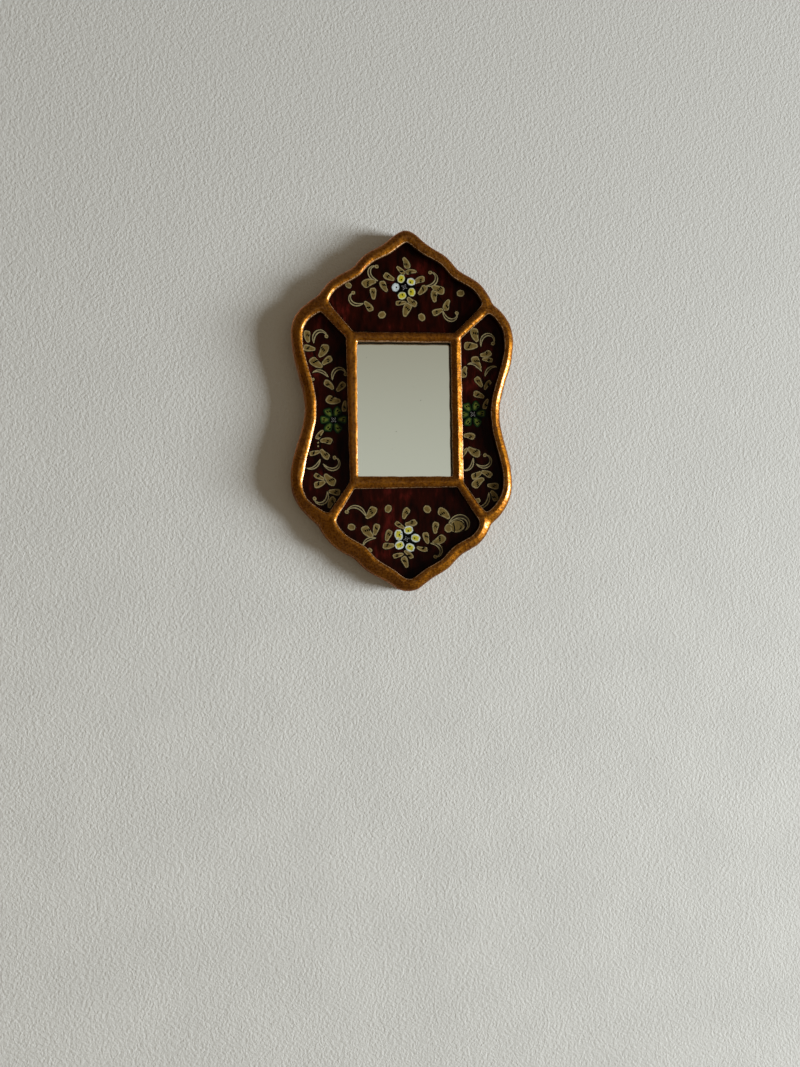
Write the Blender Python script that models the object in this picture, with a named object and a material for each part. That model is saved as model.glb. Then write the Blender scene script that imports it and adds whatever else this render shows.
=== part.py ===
"""A small wall mirror: gilt half-round bars hold four painted glass panes round a mirror plate.

The plan is drawn in X and Z as seen from the front, measured from the mirror plate's centre.
Depth is measured from the wall, which is the plane Y = 0, towards the front, which faces -Y.
Lengths are in metres. The whole mirror hangs from the origin, where the nail meets the wall.
"""
import math

import bmesh
import bpy
import numpy as np
from mathutils import Matrix, Vector

# Plan of the rim
HEIGHT = 0.2522
WIDTH = 0.156
WAIST_WIDTH = 0.137
LOBE_HEIGHT = 0.049
NOTCH_SPREAD = 0.115
NOTCH_HEIGHT = 0.0740
# Sawn by eye: how far each notch lies further out and further from mid height, clockwise from the upper left
NOTCH_OUT = (-0.0003, 0.0006, -0.0030, -0.0040)
NOTCH_AWAY = (-0.0033, 0.0001, 0.0012, 0.0019)
NOTCH_FLARE = 0.011
NOTCH_SLOPE = math.radians(32.0)
LOBE_FULLNESS = 0.013
# Scallops of the crest and of the foot, each a share of the way from apex to notch and a rise above that chord
SCALLOP_SHARES = (0.06, 0.20, 0.41, 0.57, 0.78, 0.92)
CREST_RISES = (0.0012, 0.0013, 0.0040, 0.0025, 0.0053, 0.0036)
FOOT_RISES = (0.0022, 0.0024, 0.0046, 0.0030, 0.0053, 0.0036)
# The foot was sawn off centre, so the plan drifts sideways between these heights
FOOT_DRIFT = 0.0042
DRIFT_START = -0.052
DRIFT_END = -0.090

# Members. The rim's ridge lies nearer to its inner edge. Each list gives the width from ridge to edge
# at even steps along a rim length, walked clockwise. The left and lower sides were left thicker
RIM_OUTER_LEFT = 0.0047
RIM_OUTER_RIGHT = 0.0041
RIM_TOP_OUTER = (0.0047, 0.0045, 0.0044, 0.0043, 0.0046)
RIM_RIGHT_OUTER = (0.0047,) + 4 * (RIM_OUTER_RIGHT,) + (0.0062,)
RIM_BOTTOM_OUTER = (0.0052, 0.0054, 0.0058, 0.0082, 0.0092)
RIM_LEFT_OUTER = (0.0090,) + 4 * (RIM_OUTER_LEFT,) + (0.0080,)
RIM_INNER = 0.0028
RIM_TOP_INNER = (RIM_INNER, RIM_INNER, 0.0044, RIM_INNER, RIM_INNER)
RIM_LEFT_INNER = (RIM_INNER, 0.0046, 0.0032, RIM_INNER, RIM_INNER)
RIM_WALL_RISE = 0.0030
SIGHT_WIDTH = 0.0663
SIGHT_HEIGHT = 0.0935
MIRROR_TILT = math.radians(1.5)
MIRROR_SHIFT = (0.0004, 0.0008)
# Widths of the bars round the mirror at their two ends, walked clockwise
RAIL_TOP_WIDTHS = (0.0066, 0.0066)
STILE_RIGHT_WIDTHS = (0.0070, 0.0074)
RAIL_BOTTOM_WIDTHS = (0.0074, 0.0086)
STILE_LEFT_WIDTHS = (0.0056, 0.0076)
# Widths of the diagonal bars at the mirror, clockwise from the upper left, and what each gains at the rim
BAR_WIDTHS = (0.0064, 0.0056, 0.0052, 0.0050)
BAR_FLARE = 0.0016
TONGUE_HALF = 0.0013
HEAD_EDGE = 0.0006
HEAD_RISE = 0.0043

# Depth, from the wall forwards
BOARD_RECESS = 0.0050
BOARD_THICKNESS = 0.0040
PANE_THICKNESS = 0.0020
MIRROR_THICKNESS = 0.0020

# Clearances
GLUE_GAP = 0.0003
BED_GAP = 0.0003
GLASS_FIT = 0.0003
BOARD_FIT = 0.0004
NAIL_FIT = 0.0003
RING_FIT = 0.0002

# Brads, two to a rim length, at these shares of its run
BRAD_SHARES = (0.27, 0.73)
BRAD_DIAMETER = 0.0012
BRAD_DRIVEN = 0.0032
BRAD_PROUD = 0.0052
BRAD_HEAD_DIAMETER = 0.0020
BRAD_HEAD_HEIGHT = 0.0005

# Strap hanger and its ring
HANGER_DROP = 0.043
STRAP_WIDTH = 0.0070
STRAP_THICKNESS = 0.0008
STRAP_DROP = 0.0185
EYE_TURN = math.radians(285.0)
RING_WIRE = 0.0016
RING_HALF_WIDTH = 0.0075
RING_REACH = 0.0110
RING_CORNER = 0.0020
SCREW_DROPS = (0.0050, 0.0152)
SCREW_SHANK = 0.0018
SCREW_HOLD = 0.0030
SCREW_HEAD = 0.0040
SCREW_HEAD_HEIGHT = 0.0009
SCREW_SHOULDER_WIDTH = 0.9
SCREW_SHOULDER_RISE = 0.7
SCREW_CROWN_WIDTH = 0.55

# Fineness of the facets
SLOPE_FACETS = 5
STATION = 0.0034
CURVE_STEPS = 120
APEX_PASSES = 4
END_STEPS = 4
RUN_OUT = 0.012
ROUND_SIDES = 12
WIRE_SIDES = 8
EYE_STEPS = 18
RING_ARC_STEPS = 18
RING_CORNER_STEPS = 4
SHARP_ANGLE = math.radians(32.0)

# Worked out from the above
BOARD_FRONT = BOARD_RECESS + BOARD_THICKNESS
GLASS_REAR = BOARD_FRONT + BED_GAP
HEAD_BASE = GLASS_REAR + max(PANE_THICKNESS, MIRROR_THICKNESS) + BED_GAP
RIDGE = HEAD_BASE + HEAD_EDGE + HEAD_RISE
STRAP_FRONT = BOARD_RECESS - BED_GAP
STRAP_REAR = STRAP_FRONT - STRAP_THICKNESS
EYE_RADIUS = RING_WIRE / 2 + RING_FIT + STRAP_THICKNESS / 2
EYE_DEPTH = STRAP_FRONT - STRAP_THICKNESS / 2 - EYE_RADIUS
HANGER_HEIGHT = HEIGHT / 2 - HANGER_DROP
HANG_RISE = HANGER_HEIGHT + RING_REACH - RING_WIRE / 2


def unit(vector):
    """The vector at length one."""
    return vector / np.linalg.norm(vector)


def left_of(vector):
    """The vector turned a quarter turn to its left."""
    return np.array((-vector[1], vector[0]))


def along(path):
    """Distance run at each point of a path."""
    return np.concatenate(([0.0], np.cumsum(np.linalg.norm(np.diff(path, axis=0), axis=1))))


def at_distances(path, distances):
    """Points of a path at the given distances run."""
    run = along(path)
    return np.stack([np.interp(distances, run, path[:, axis]) for axis in (0, 1)], axis=1)


def evenly(path):
    """The path with its points set evenly, about one station apart."""
    length = along(path)[-1]
    steps = max(2, round(length / STATION))
    return at_distances(path, np.linspace(0.0, length, steps + 1))


def through(points):
    """A smooth curve through the points (Catmull-Rom)."""
    points = np.asarray(points)
    first = 2 * points[0] - points[1]
    last = 2 * points[-1] - points[-2]
    held = np.vstack((first, points, last))
    share = np.linspace(0.0, 1.0, CURVE_STEPS)[:, None]
    spans = []
    for a, b, c, d in zip(held, held[1:], held[2:], held[3:]):
        cubic = 2 * b + (c - a) * share
        cubic = cubic + (2 * a - 5 * b + 4 * c - d) * share ** 2
        cubic = cubic + (3 * b - a - 3 * c + d) * share ** 3
        spans.append(cubic / 2)
    return np.vstack([span[:-1] for span in spans] + [points[-1:]])


def bezier(start, leave, arrive, end):
    """A cubic curve from start to end, pulled towards the two points between."""
    share = np.linspace(0.0, 1.0, CURVE_STEPS)[:, None]
    rest = 1 - share
    return (rest ** 3 * start + 3 * rest ** 2 * share * leave
            + 3 * rest * share ** 2 * arrive + share ** 3 * end)


def lean(points):
    """Moves the foot sideways: nothing above DRIFT_START, all of FOOT_DRIFT below DRIFT_END."""
    points = np.array(points, dtype=float)
    share = np.clip((points[..., 1] - DRIFT_START) / (DRIFT_END - DRIFT_START), 0.0, 1.0)
    points[..., 0] += FOOT_DRIFT * share ** 2 * (3 - 2 * share)
    return points


def notch_at(corner):
    """Place of a notch, turned to the upper right whichever corner it belongs to."""
    return np.array((NOTCH_SPREAD / 2 + NOTCH_OUT[corner], NOTCH_HEIGHT + NOTCH_AWAY[corner]))


def crest_line(left_corner, right_corner, rises, outer):
    """Ridge line of a crest from its left notch over the apex to its right notch."""
    apex = np.array((0.0, HEIGHT / 2))
    for _ in range(APEX_PASSES):
        left = scallops(apex, notch_at(left_corner), rises) * (-1, 1)
        right = scallops(apex, notch_at(right_corner), rises)
        line = through(np.vstack((left[::-1], apex, right)))
        middle = len(line) // 2
        rising, falling = evenly(line[:middle + 1]), evenly(line[middle:])
        first = falling[1] - falling[0]
        apex[1] = HEIGHT / 2 - outer * np.linalg.norm(first) / first[0]
    return np.vstack((rising[:-1], falling))


def scallops(apex, notch, rises):
    """Points from apex to notch that rise over the chord between them in scallops."""
    chord = notch - apex
    outwards = unit(left_of(chord))
    shaped = [apex + share * chord + rise * outwards for share, rise in zip(SCALLOP_SHARES, rises)]
    return np.vstack((shaped, notch))


def flank_half(corner):
    """Half of a flank's ridge line, turned to the upper right: from the notch round the lobe to the waist."""
    notch = notch_at(corner)
    both_walls = RIM_OUTER_LEFT + RIM_OUTER_RIGHT
    lobe = np.array(((WIDTH - both_walls) / 2, LOBE_HEIGHT))
    waist = (WAIST_WIDTH - both_walls) / 2
    leave = notch + NOTCH_FLARE * np.array((math.cos(NOTCH_SLOPE), -math.sin(NOTCH_SLOPE)))
    shoulder = bezier(notch, leave, lobe + np.array((0.0, LOBE_FULLNESS)), lobe)
    heights = np.linspace(LOBE_HEIGHT, 0.0, CURVE_STEPS)
    swell = (1 - np.cos(math.pi * heights / LOBE_HEIGHT)) / 2
    hollow = np.stack((waist + (lobe[0] - waist) * swell, heights), axis=1)
    return evenly(np.vstack((shoulder, hollow[1:])))


class Member:
    """A bar of the frame: its ridge line in plan, its widths to each side and the mitres at its ends."""

    def __init__(self, path, left, right):
        self.path = np.asarray(path)
        self.widths = {1: left, -1: right}
        self.cuts = {}

    def tip(self, end):
        """The ridge line's point at its start (0) or end (1)."""
        return self.path[-end]

    def leaving(self, end):
        """Direction from one end into the member."""
        if end == 0:
            return unit(self.path[1] - self.path[0])
        return unit(self.path[-2] - self.path[-1])

    def run_out(self):
        """The ridge line carried straight on past both ends."""
        before = self.path[0] - RUN_OUT * self.leaving(0)
        after = self.path[-1] - RUN_OUT * self.leaving(1)
        return np.vstack((before, self.path, after))

    def side_line(self, share, fixed):
        """A line beside the ridge line: a share of that side's width plus a fixed distance to the left."""
        path = self.run_out()
        run = along(path) - RUN_OUT
        length = run[-1] - RUN_OUT
        widths = self.widths[1 if share > 0 else -1]
        width = np.interp(run / length, np.linspace(0.0, 1.0, len(widths)), widths)
        steps = np.diff(path, axis=0)
        steps = steps / np.linalg.norm(steps, axis=1)[:, None]
        normals = np.stack((-steps[:, 1], steps[:, 0]), axis=1)
        before = np.vstack((normals[:1], normals))
        after = np.vstack((normals, normals[-1:]))
        turn = 1 + np.sum(before * after, axis=1)
        return path + ((share * width + fixed) / turn)[:, None] * (before + after)

    def trimmed(self, share, fixed):
        """A side line with the steps along it at which its two mitres cut it."""
        line = self.side_line(share, fixed)
        offset = share + fixed
        sides = (1, -1) if offset == 0 else (int(math.copysign(1, offset)),)
        start = max(cut_step(line, *self.cuts[0, side]) for side in sides)
        end = max(cut_step(line[::-1], *self.cuts[1, side]) for side in sides)
        return line, start, len(line) - 1 - end


def cut_step(line, point, normal):
    """How many steps a line, walked from its outer end, takes before it comes inside a mitre plane."""
    inside = (line - point) @ normal
    first = int(np.argmax(inside > 0))
    return first - 1 + inside[first - 1] / (inside[first - 1] - inside[first])


def mitre(meeting):
    """Cuts members that meet at a point along the lines from it to the corners of their edges."""
    def bearing(entry):
        direction = entry[0].leaving(entry[1])
        return math.atan2(direction[1], direction[0])

    around = sorted(meeting, key=bearing)
    centre = around[0][0].tip(around[0][1])
    for (first, first_end), (second, second_end) in zip(around, around[1:] + around[:1]):
        first_way = first.leaving(first_end)
        second_way = second.leaving(second_end)
        first_side = 1 if first_end == 0 else -1
        second_side = -1 if second_end == 0 else 1
        facing = np.array((left_of(first_way), -left_of(second_way)))
        reach = (first.widths[first_side][-first_end], second.widths[second_side][-second_end])
        across = left_of(unit(np.linalg.solve(facing, reach)))
        for member, end, side, way in ((first, first_end, first_side, first_way),
                                       (second, second_end, second_side, second_way)):
            normal = across * math.copysign(1, across @ way)
            member.cuts[end, side] = (centre + normal * GLUE_GAP / 2, normal)


def slope(side, foot):
    """One rounded slope of a head, a quarter ellipse from its foot up to just short of the ridge."""
    angles = np.linspace(0.0, math.pi / 2, SLOPE_FACETS + 1)[:-1]
    return [(side * math.cos(a), 0.0, foot + (RIDGE - foot) * math.sin(a)) for a in angles]


def head(left_foot, right_foot):
    """The whole rounded head, from its left foot over the ridge to its right foot."""
    return slope(1, left_foot) + [(0.0, 0.0, RIDGE)] + slope(-1, right_foot)[::-1]


def rim_profile():
    """Rim section: outer wall, rounded head, lip over the glass and rebate down to the wall."""
    rear = [(0.0, 0.0, 0.0), (1.0, 0.0, 0.0)]
    lip = [(-1.0, 0.0, HEAD_BASE), (0.0, -TONGUE_HALF, HEAD_BASE), (0.0, -TONGUE_HALF, 0.0)]
    return rear + head(RIM_WALL_RISE, HEAD_BASE + HEAD_EDGE) + lip


def bar_profile():
    """Bar section: half-round head over a tongue that stands between two panes on the board."""
    foot = BOARD_FRONT + BED_GAP
    left = [(0.0, 0.0, foot), (0.0, TONGUE_HALF, foot), (0.0, TONGUE_HALF, HEAD_BASE), (1.0, 0.0, HEAD_BASE)]
    right = [(-1.0, 0.0, HEAD_BASE), (0.0, -TONGUE_HALF, HEAD_BASE), (0.0, -TONGUE_HALF, foot)]
    return left + head(HEAD_BASE + HEAD_EDGE, HEAD_BASE + HEAD_EDGE) + right


def make_object(name, mesh, material, parent):
    """Links a mesh as a named piece under the parent."""
    piece = bpy.data.objects.new(name, mesh)
    bpy.context.scene.collection.objects.link(piece)
    mesh.materials.append(material)
    mesh.shade_smooth()
    mesh.set_sharp_from_angle(angle=SHARP_ANGLE)
    piece.parent = parent
    return piece


def closed_mesh(name, points, faces):
    """A mesh of the points and faces with its normals turned outwards."""
    mesh = bpy.data.meshes.new(name)
    mesh.from_pydata([tuple(point) for point in points], [], faces)
    shape = bmesh.new()
    shape.from_mesh(mesh)
    bmesh.ops.recalc_face_normals(shape, faces=shape.faces)
    shape.to_mesh(mesh)
    shape.free()
    return mesh


def sweep(name, member, profile, material, parent):
    """Carries a profile along a member between its mitres."""
    lines = [member.trimmed(share, fixed) for share, fixed, _ in profile]
    first = math.ceil(max(start for _, start, _ in lines)) + 1
    last = math.floor(min(end for _, _, end in lines)) - 1
    rows = []
    for (line, start, end), (_, _, depth) in zip(lines, profile):
        steps = np.array((start, end))
        if first < last:
            before = np.linspace(start, first, END_STEPS, endpoint=False)
            after = np.linspace(end, last, END_STEPS, endpoint=False)[::-1]
            steps = np.concatenate((before, np.arange(first, last + 1), after))
        plan = [np.interp(steps, np.arange(len(line)), line[:, axis]) for axis in (0, 1)]
        rows.append(np.stack((plan[0], np.full(len(steps), -depth), plan[1]), axis=1))
    grid = np.array(rows)
    around, run = grid.shape[:2]
    ridge = max(range(around), key=lambda row: profile[row][2])

    def corner(row, column):
        return (row % around) * run + column

    faces = []
    for row in range(around):
        for column in range(run - 1):
            faces.append((corner(row, column), corner(row, column + 1),
                          corner(row + 1, column + 1), corner(row + 1, column)))
    for column in (0, run - 1):
        faces.append([corner(row, column) for row in range(ridge + 1)])
        faces.append([corner(row, column) for row in range(ridge, around + 1)])
    return make_object(name, closed_mesh(name, grid.reshape(-1, 3), faces), material, parent)


def crossing(first, second):
    """Where one line crosses the next: the step on each and the point, nearest to the first one's end."""
    for i in range(len(first) - 2, -1, -1):
        step = first[i + 1] - first[i]
        for j in range(len(second) - 1):
            other = second[j + 1] - second[j]
            spread = step[0] * other[1] - step[1] * other[0]
            gap = second[j] - first[i]
            along_first = (gap[0] * other[1] - gap[1] * other[0]) / spread if spread else -1.0
            along_second = (gap[0] * step[1] - gap[1] * step[0]) / spread if spread else -1.0
            if 0 <= along_first <= 1 and 0 <= along_second <= 1:
                return i, j, first[i] + along_first * step
    raise ValueError("two neighbouring edges of a sheet don't meet")


def outline(borders, inset):
    """Outline of a sheet set in from the ridge lines that border it, taken clockwise."""
    lines = []
    for member, way in borders:
        line = member.side_line(0.0, -way * inset)
        lines.append(line[::way])
    hits = [crossing(line, after) for line, after in zip(lines, lines[1:] + lines[:1])]
    points = []
    for index, line in enumerate(lines):
        start = hits[index - 1]
        points.append(start[2])
        points.extend(line[start[1] + 1:hits[index][0] + 1])
    return np.array(points)


def sheet(name, plan, rear, thickness, material, parent):
    """A flat sheet of the given outline between two depths."""
    count = len(plan)
    points = [(x, -depth, z) for depth in (rear, rear + thickness) for x, z in plan]
    faces = [list(range(count)), list(range(count, 2 * count))]
    faces += [(i, (i + 1) % count, count + (i + 1) % count, count + i) for i in range(count)]
    return make_object(name, closed_mesh(name, points, faces), material, parent)


def turned(name, profile, sides):
    """A mesh turned about Z from radii and heights, with flat ends."""
    shape = bmesh.new()
    rings = []
    for radius, height in profile:
        angles = [2 * math.pi * side / sides for side in range(sides)]
        rings.append([shape.verts.new((radius * math.cos(a), radius * math.sin(a), height)) for a in angles])
    for lower, upper in zip(rings, rings[1:]):
        for side in range(sides):
            after = (side + 1) % sides
            shape.faces.new((lower[side], lower[after], upper[after], upper[side]))
    shape.faces.new(rings[0][::-1])
    shape.faces.new(rings[-1])
    bmesh.ops.recalc_face_normals(shape, faces=shape.faces)
    mesh = bpy.data.meshes.new(name)
    shape.to_mesh(mesh)
    shape.free()
    return mesh


def drill(piece, name, diameter, depth, mouth, inwards, parent):
    """Bores a round hole into a piece from its mouth, with a cutter that stays as a guide."""
    radius = diameter / 2
    cutter = bpy.data.objects.new(name, turned(name, [(radius, -depth), (radius, depth)], ROUND_SIDES))
    bpy.context.scene.collection.objects.link(cutter)
    cutter.parent = parent
    cutter.matrix_local = aimed(mouth, inwards)
    cutter.hide_render = True
    cutter.display_type = 'WIRE'
    bore = piece.modifiers.new(name, 'BOOLEAN')
    bore.operation = 'DIFFERENCE'
    bore.solver = 'EXACT'
    bore.object = cutter


def aimed(place, direction):
    """Placement at a point with local Z turned to a direction."""
    turn = Vector(direction).to_track_quat('Z', 'Y').to_matrix().to_4x4()
    return Matrix.Translation(Vector(place)) @ turn


def finish(name, colour, roughness, metallic):
    """A plain Principled material."""
    material = bpy.data.materials.new(name)
    material.use_nodes = True
    shader = material.node_tree.nodes["Principled BSDF"]
    shader.inputs["Base Color"].default_value = (*colour, 1.0)
    shader.inputs["Roughness"].default_value = roughness
    shader.inputs["Metallic"].default_value = metallic
    return material


def mirrored(path, axis):
    """A path mirrored in plan and walked the other way, so that it still runs clockwise."""
    flipped = path.copy()
    flipped[:, axis] *= -1
    return flipped[::-1]


def mirror_corners(top, right, bottom, left):
    """Where the ridges of the bars round the mirror meet, clockwise from the upper left, for their widths."""
    west, east = -(SIGHT_WIDTH + left) / 2, (SIGHT_WIDTH + right) / 2
    south, north = -(SIGHT_HEIGHT + bottom) / 2, (SIGHT_HEIGHT + top) / 2
    square = np.array(((west, north), (east, north), (east, south), (west, south)))
    sine, cosine = math.sin(MIRROR_TILT), math.cos(MIRROR_TILT)
    return square @ np.array(((cosine, sine), (-sine, cosine))) + MIRROR_SHIFT


def frame_members():
    """The twelve members of the frame, with every meeting of members mitred."""
    top_left, top_right, bottom_right, bottom_left = range(4)
    at_apex = len(RIM_TOP_OUTER) // 2
    top = crest_line(top_left, top_right, CREST_RISES, RIM_TOP_OUTER[at_apex])
    foot = crest_line(bottom_left, bottom_right, FOOT_RISES, RIM_BOTTOM_OUTER[at_apex])
    right = np.vstack((flank_half(top_right)[:-1], mirrored(flank_half(bottom_right), 1)))
    left = np.vstack((flank_half(top_left)[:-1], mirrored(flank_half(bottom_left), 1)))
    even = (RIM_INNER, RIM_INNER)
    members = {
        "rim_top": Member(lean(top), RIM_TOP_OUTER, RIM_TOP_INNER),
        "rim_right": Member(lean(right), RIM_RIGHT_OUTER, even),
        "rim_bottom": Member(lean(mirrored(foot, 1)), RIM_BOTTOM_OUTER, even),
        "rim_left": Member(lean(mirrored(left, 0)), RIM_LEFT_OUTER, RIM_LEFT_INNER),
    }
    widths = {"rail_top": RAIL_TOP_WIDTHS, "stile_right": STILE_RIGHT_WIDTHS,
              "rail_bottom": RAIL_BOTTOM_WIDTHS, "stile_left": STILE_LEFT_WIDTHS}
    corners = mirror_corners(*(sum(ends) / 2 for ends in widths.values()))
    for index, (name, ends) in enumerate(widths.items()):
        half = (ends[0] / 2, ends[1] / 2)
        members[name] = Member(corners[[index, (index + 1) % 4]], half, half)
    round_mirror = tuple(widths)
    round_rim = ("rim_top", "rim_right", "rim_bottom", "rim_left")
    bars = ("bar_top_left", "bar_top_right", "bar_bottom_right", "bar_bottom_left")
    for index, name in enumerate(bars):
        notch = members[round_rim[index]].tip(0)
        half = (BAR_WIDTHS[index] / 2, (BAR_WIDTHS[index] + BAR_FLARE) / 2)
        bar = Member([corners[index], notch], half, half)
        members[name] = bar
        mitre([(bar, 0), (members[round_mirror[index]], 0), (members[round_mirror[index - 1]], 1)])
        mitre([(bar, 1), (members[round_rim[index]], 0), (members[round_rim[index - 1]], 1)])
    return members


def build_glass(members, material, silver, parent):
    """The four painted panes and the mirror plate, each set in from the members that border it."""
    inset = TONGUE_HALF + GLASS_FIT
    borders = {
        "pane_top": (("rim_top", 1), ("bar_top_right", -1), ("rail_top", -1), ("bar_top_left", 1)),
        "pane_right": (("rim_right", 1), ("bar_bottom_right", -1), ("stile_right", -1), ("bar_top_right", 1)),
        "pane_bottom": (("rim_bottom", 1), ("bar_bottom_left", -1), ("rail_bottom", -1),
                        ("bar_bottom_right", 1)),
        "pane_left": (("rim_left", 1), ("bar_top_left", -1), ("stile_left", -1), ("bar_bottom_left", 1)),
    }
    for name, ways in borders.items():
        plan = outline([(members[member], way) for member, way in ways], inset)
        sheet(name, plan, GLASS_REAR, PANE_THICKNESS, material, parent)
    plate = [(members[name], 1) for name in ("rail_top", "stile_right", "rail_bottom", "stile_left")]
    sheet("mirror_plate", outline(plate, inset), GLASS_REAR, MIRROR_THICKNESS, silver, parent)


def build_brads(members, rims, steel, parent):
    """Two brads to each rim length, driven square into its wall just behind the board."""
    radius = BRAD_DIAMETER / 2
    head = BRAD_HEAD_DIAMETER / 2
    depth = BOARD_RECESS - BED_GAP - head
    shank = [(radius, -BRAD_DRIVEN), (radius, BRAD_PROUD)]
    profile = shank + [(head, BRAD_PROUD), (head, BRAD_PROUD + BRAD_HEAD_HEIGHT)]
    number = 0
    for name, rim in rims.items():
        member = members[name]
        run = along(member.path)
        for share in BRAD_SHARES:
            number += 1
            label = f"brad_{number}"
            here, ahead = at_distances(member.path, (share * run[-1], share * run[-1] + STATION / 4))
            inwards = -left_of(unit(ahead - here))
            mouth = here + inwards * TONGUE_HALF
            place = (mouth[0], -depth, mouth[1])
            way = (inwards[0], 0.0, inwards[1])
            outwards = (-inwards[0], 0.0, -inwards[1])
            drill(rim, label + "_hole", BRAD_DIAMETER + 2 * NAIL_FIT, BRAD_DRIVEN + NAIL_FIT, place,
                  outwards, parent)
            brad = make_object(label, turned(label, profile, ROUND_SIDES), steel, parent)
            brad.matrix_local = aimed(place, way)


def eye_path():
    """Middle line of the strap in depth and height: up the board, then curled round the ring's bar."""
    middle = STRAP_FRONT - STRAP_THICKNESS / 2
    turns = np.linspace(0.0, EYE_TURN, EYE_STEPS + 1)
    curl = np.stack((EYE_DEPTH + EYE_RADIUS * np.cos(turns), EYE_RADIUS * np.sin(turns)), axis=1)
    return np.vstack(((middle, -STRAP_DROP), curl))


def build_hanger(board, steel, parent):
    """The folded strap, its two screws and the ring that swings in its eye."""
    half_strap = (STRAP_THICKNESS / 2, STRAP_THICKNESS / 2)
    line = Member(eye_path(), half_strap, half_strap)
    edges = [line.side_line(share, 0.0)[1:-1] for share in (1.0, -1.0)]
    section = np.vstack((edges[0], edges[1][::-1]))
    count = len(section)
    points = [(side * STRAP_WIDTH / 2, -depth, HANGER_HEIGHT + rise)
              for side in (-1, 1) for depth, rise in section]
    half = len(edges[0])
    faces = []
    for base in (0, count):
        faces += [(base + i, base + i + 1, base + count - 2 - i, base + count - 1 - i) for i in range(half - 1)]
    faces += [(i, (i + 1) % count, count + (i + 1) % count, count + i) for i in range(count)]
    strap = make_object("hanger_strap", closed_mesh("hanger_strap", points, faces), steel, parent)

    shank = SCREW_SHANK / 2
    head = SCREW_HEAD / 2
    reach = STRAP_THICKNESS + BED_GAP + SCREW_HOLD
    hole = SCREW_SHANK + 2 * NAIL_FIT
    dome = [(head, 0.0), (head * SCREW_SHOULDER_WIDTH, SCREW_HEAD_HEIGHT * SCREW_SHOULDER_RISE),
            (head * SCREW_CROWN_WIDTH, SCREW_HEAD_HEIGHT)]
    profile = [(shank, -reach - BED_GAP), (shank, 0.0)] + dome
    for name, drop in zip(("hanger_screw_upper", "hanger_screw_lower"), SCREW_DROPS):
        height = HANGER_HEIGHT - drop
        screw = make_object(name, turned(name, profile, ROUND_SIDES), steel, parent)
        screw.matrix_local = aimed((0.0, -(STRAP_REAR - BED_GAP), height), (0.0, 1.0, 0.0))
        drill(strap, name + "_strap_hole", hole, 2 * STRAP_THICKNESS, (0.0, -STRAP_REAR, height),
              (0.0, -1.0, 0.0), parent)
        drill(board, name + "_board_hole", hole, SCREW_HOLD + NAIL_FIT, (0.0, -BOARD_RECESS, height),
              (0.0, -1.0, 0.0), parent)
    build_ring(steel, parent)


def ring_path():
    """Centre line of the D-ring in X and Z about its swing axis: bar, rounded corners and bow."""
    bow_centre = RING_REACH - RING_HALF_WIDTH
    bow = np.linspace(0.0, math.pi, RING_ARC_STEPS + 1)
    bow_points = np.stack((RING_HALF_WIDTH * np.cos(bow), bow_centre + RING_HALF_WIDTH * np.sin(bow)), axis=1)
    bend = np.linspace(math.pi, 1.5 * math.pi, RING_CORNER_STEPS + 1)
    left = np.stack((RING_CORNER - RING_HALF_WIDTH + RING_CORNER * np.cos(bend),
                     RING_CORNER + RING_CORNER * np.sin(bend)), axis=1)
    right = left[::-1] * (-1, 1)
    return np.vstack((bow_points, left, right))


def build_ring(steel, parent):
    """The wire D-ring, with its origin on the swing axis."""
    path = ring_path()
    count = len(path)
    before = path - np.roll(path, 1, axis=0)
    after = np.roll(path, -1, axis=0) - path
    way = before / np.linalg.norm(before, axis=1)[:, None] + after / np.linalg.norm(after, axis=1)[:, None]
    way = way / np.linalg.norm(way, axis=1)[:, None]
    outwards = np.stack((way[:, 1], -way[:, 0]), axis=1)
    angles = np.arange(WIRE_SIDES) * 2 * math.pi / WIRE_SIDES
    radius = RING_WIRE / 2
    plan = path[:, None] + radius * np.cos(angles)[None, :, None] * outwards[:, None]
    depth = np.broadcast_to(radius * np.sin(angles), plan.shape[:2])
    points = np.stack((plan[..., 0], depth, plan[..., 1]), axis=-1).reshape(-1, 3)
    faces = []
    for i in range(count):
        for j in range(WIRE_SIDES):
            following = (i + 1) % count
            around = (j + 1) % WIRE_SIDES
            faces.append((i * WIRE_SIDES + j, following * WIRE_SIDES + j,
                          following * WIRE_SIDES + around, i * WIRE_SIDES + around))
    ring = make_object("hanger_ring", closed_mesh("hanger_ring", points, faces), steel, parent)
    ring.location = (0.0, -EYE_DEPTH, HANGER_HEIGHT)


def build():
    """Clears the scene and builds every piece under one empty at the mirror's centre."""
    for old in list(bpy.data.objects):
        bpy.data.objects.remove(old)
    centre = bpy.data.objects.new("mirror_centre", None)
    bpy.context.scene.collection.objects.link(centre)
    centre.location = (0.0, 0.0, -HANG_RISE)

    gilt = finish("gilt_wood", (0.30, 0.16, 0.05), 0.42, 0.75)
    painted = finish("painted_glass", (0.085, 0.012, 0.016), 0.08, 0.0)
    silver = finish("silvered_glass", (0.80, 0.82, 0.79), 0.03, 1.0)
    fibreboard = finish("fibreboard", (0.34, 0.22, 0.12), 0.75, 0.0)
    steel = finish("plated_steel", (0.55, 0.54, 0.50), 0.35, 1.0)

    members = frame_members()
    rims = {}
    for name, member in members.items():
        on_rim = name.startswith("rim_")
        piece = sweep(name, member, rim_profile() if on_rim else bar_profile(), gilt, centre)
        if on_rim:
            rims[name] = piece
    build_glass(members, painted, silver, centre)
    round_rim = [(members[name], 1) for name in rims]
    board_plan = outline(round_rim, TONGUE_HALF + BOARD_FIT)
    board = sheet("back_board", board_plan, BOARD_RECESS, BOARD_THICKNESS, fibreboard, centre)
    build_brads(members, rims, steel, centre)
    build_hanger(board, steel, centre)


build()
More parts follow.
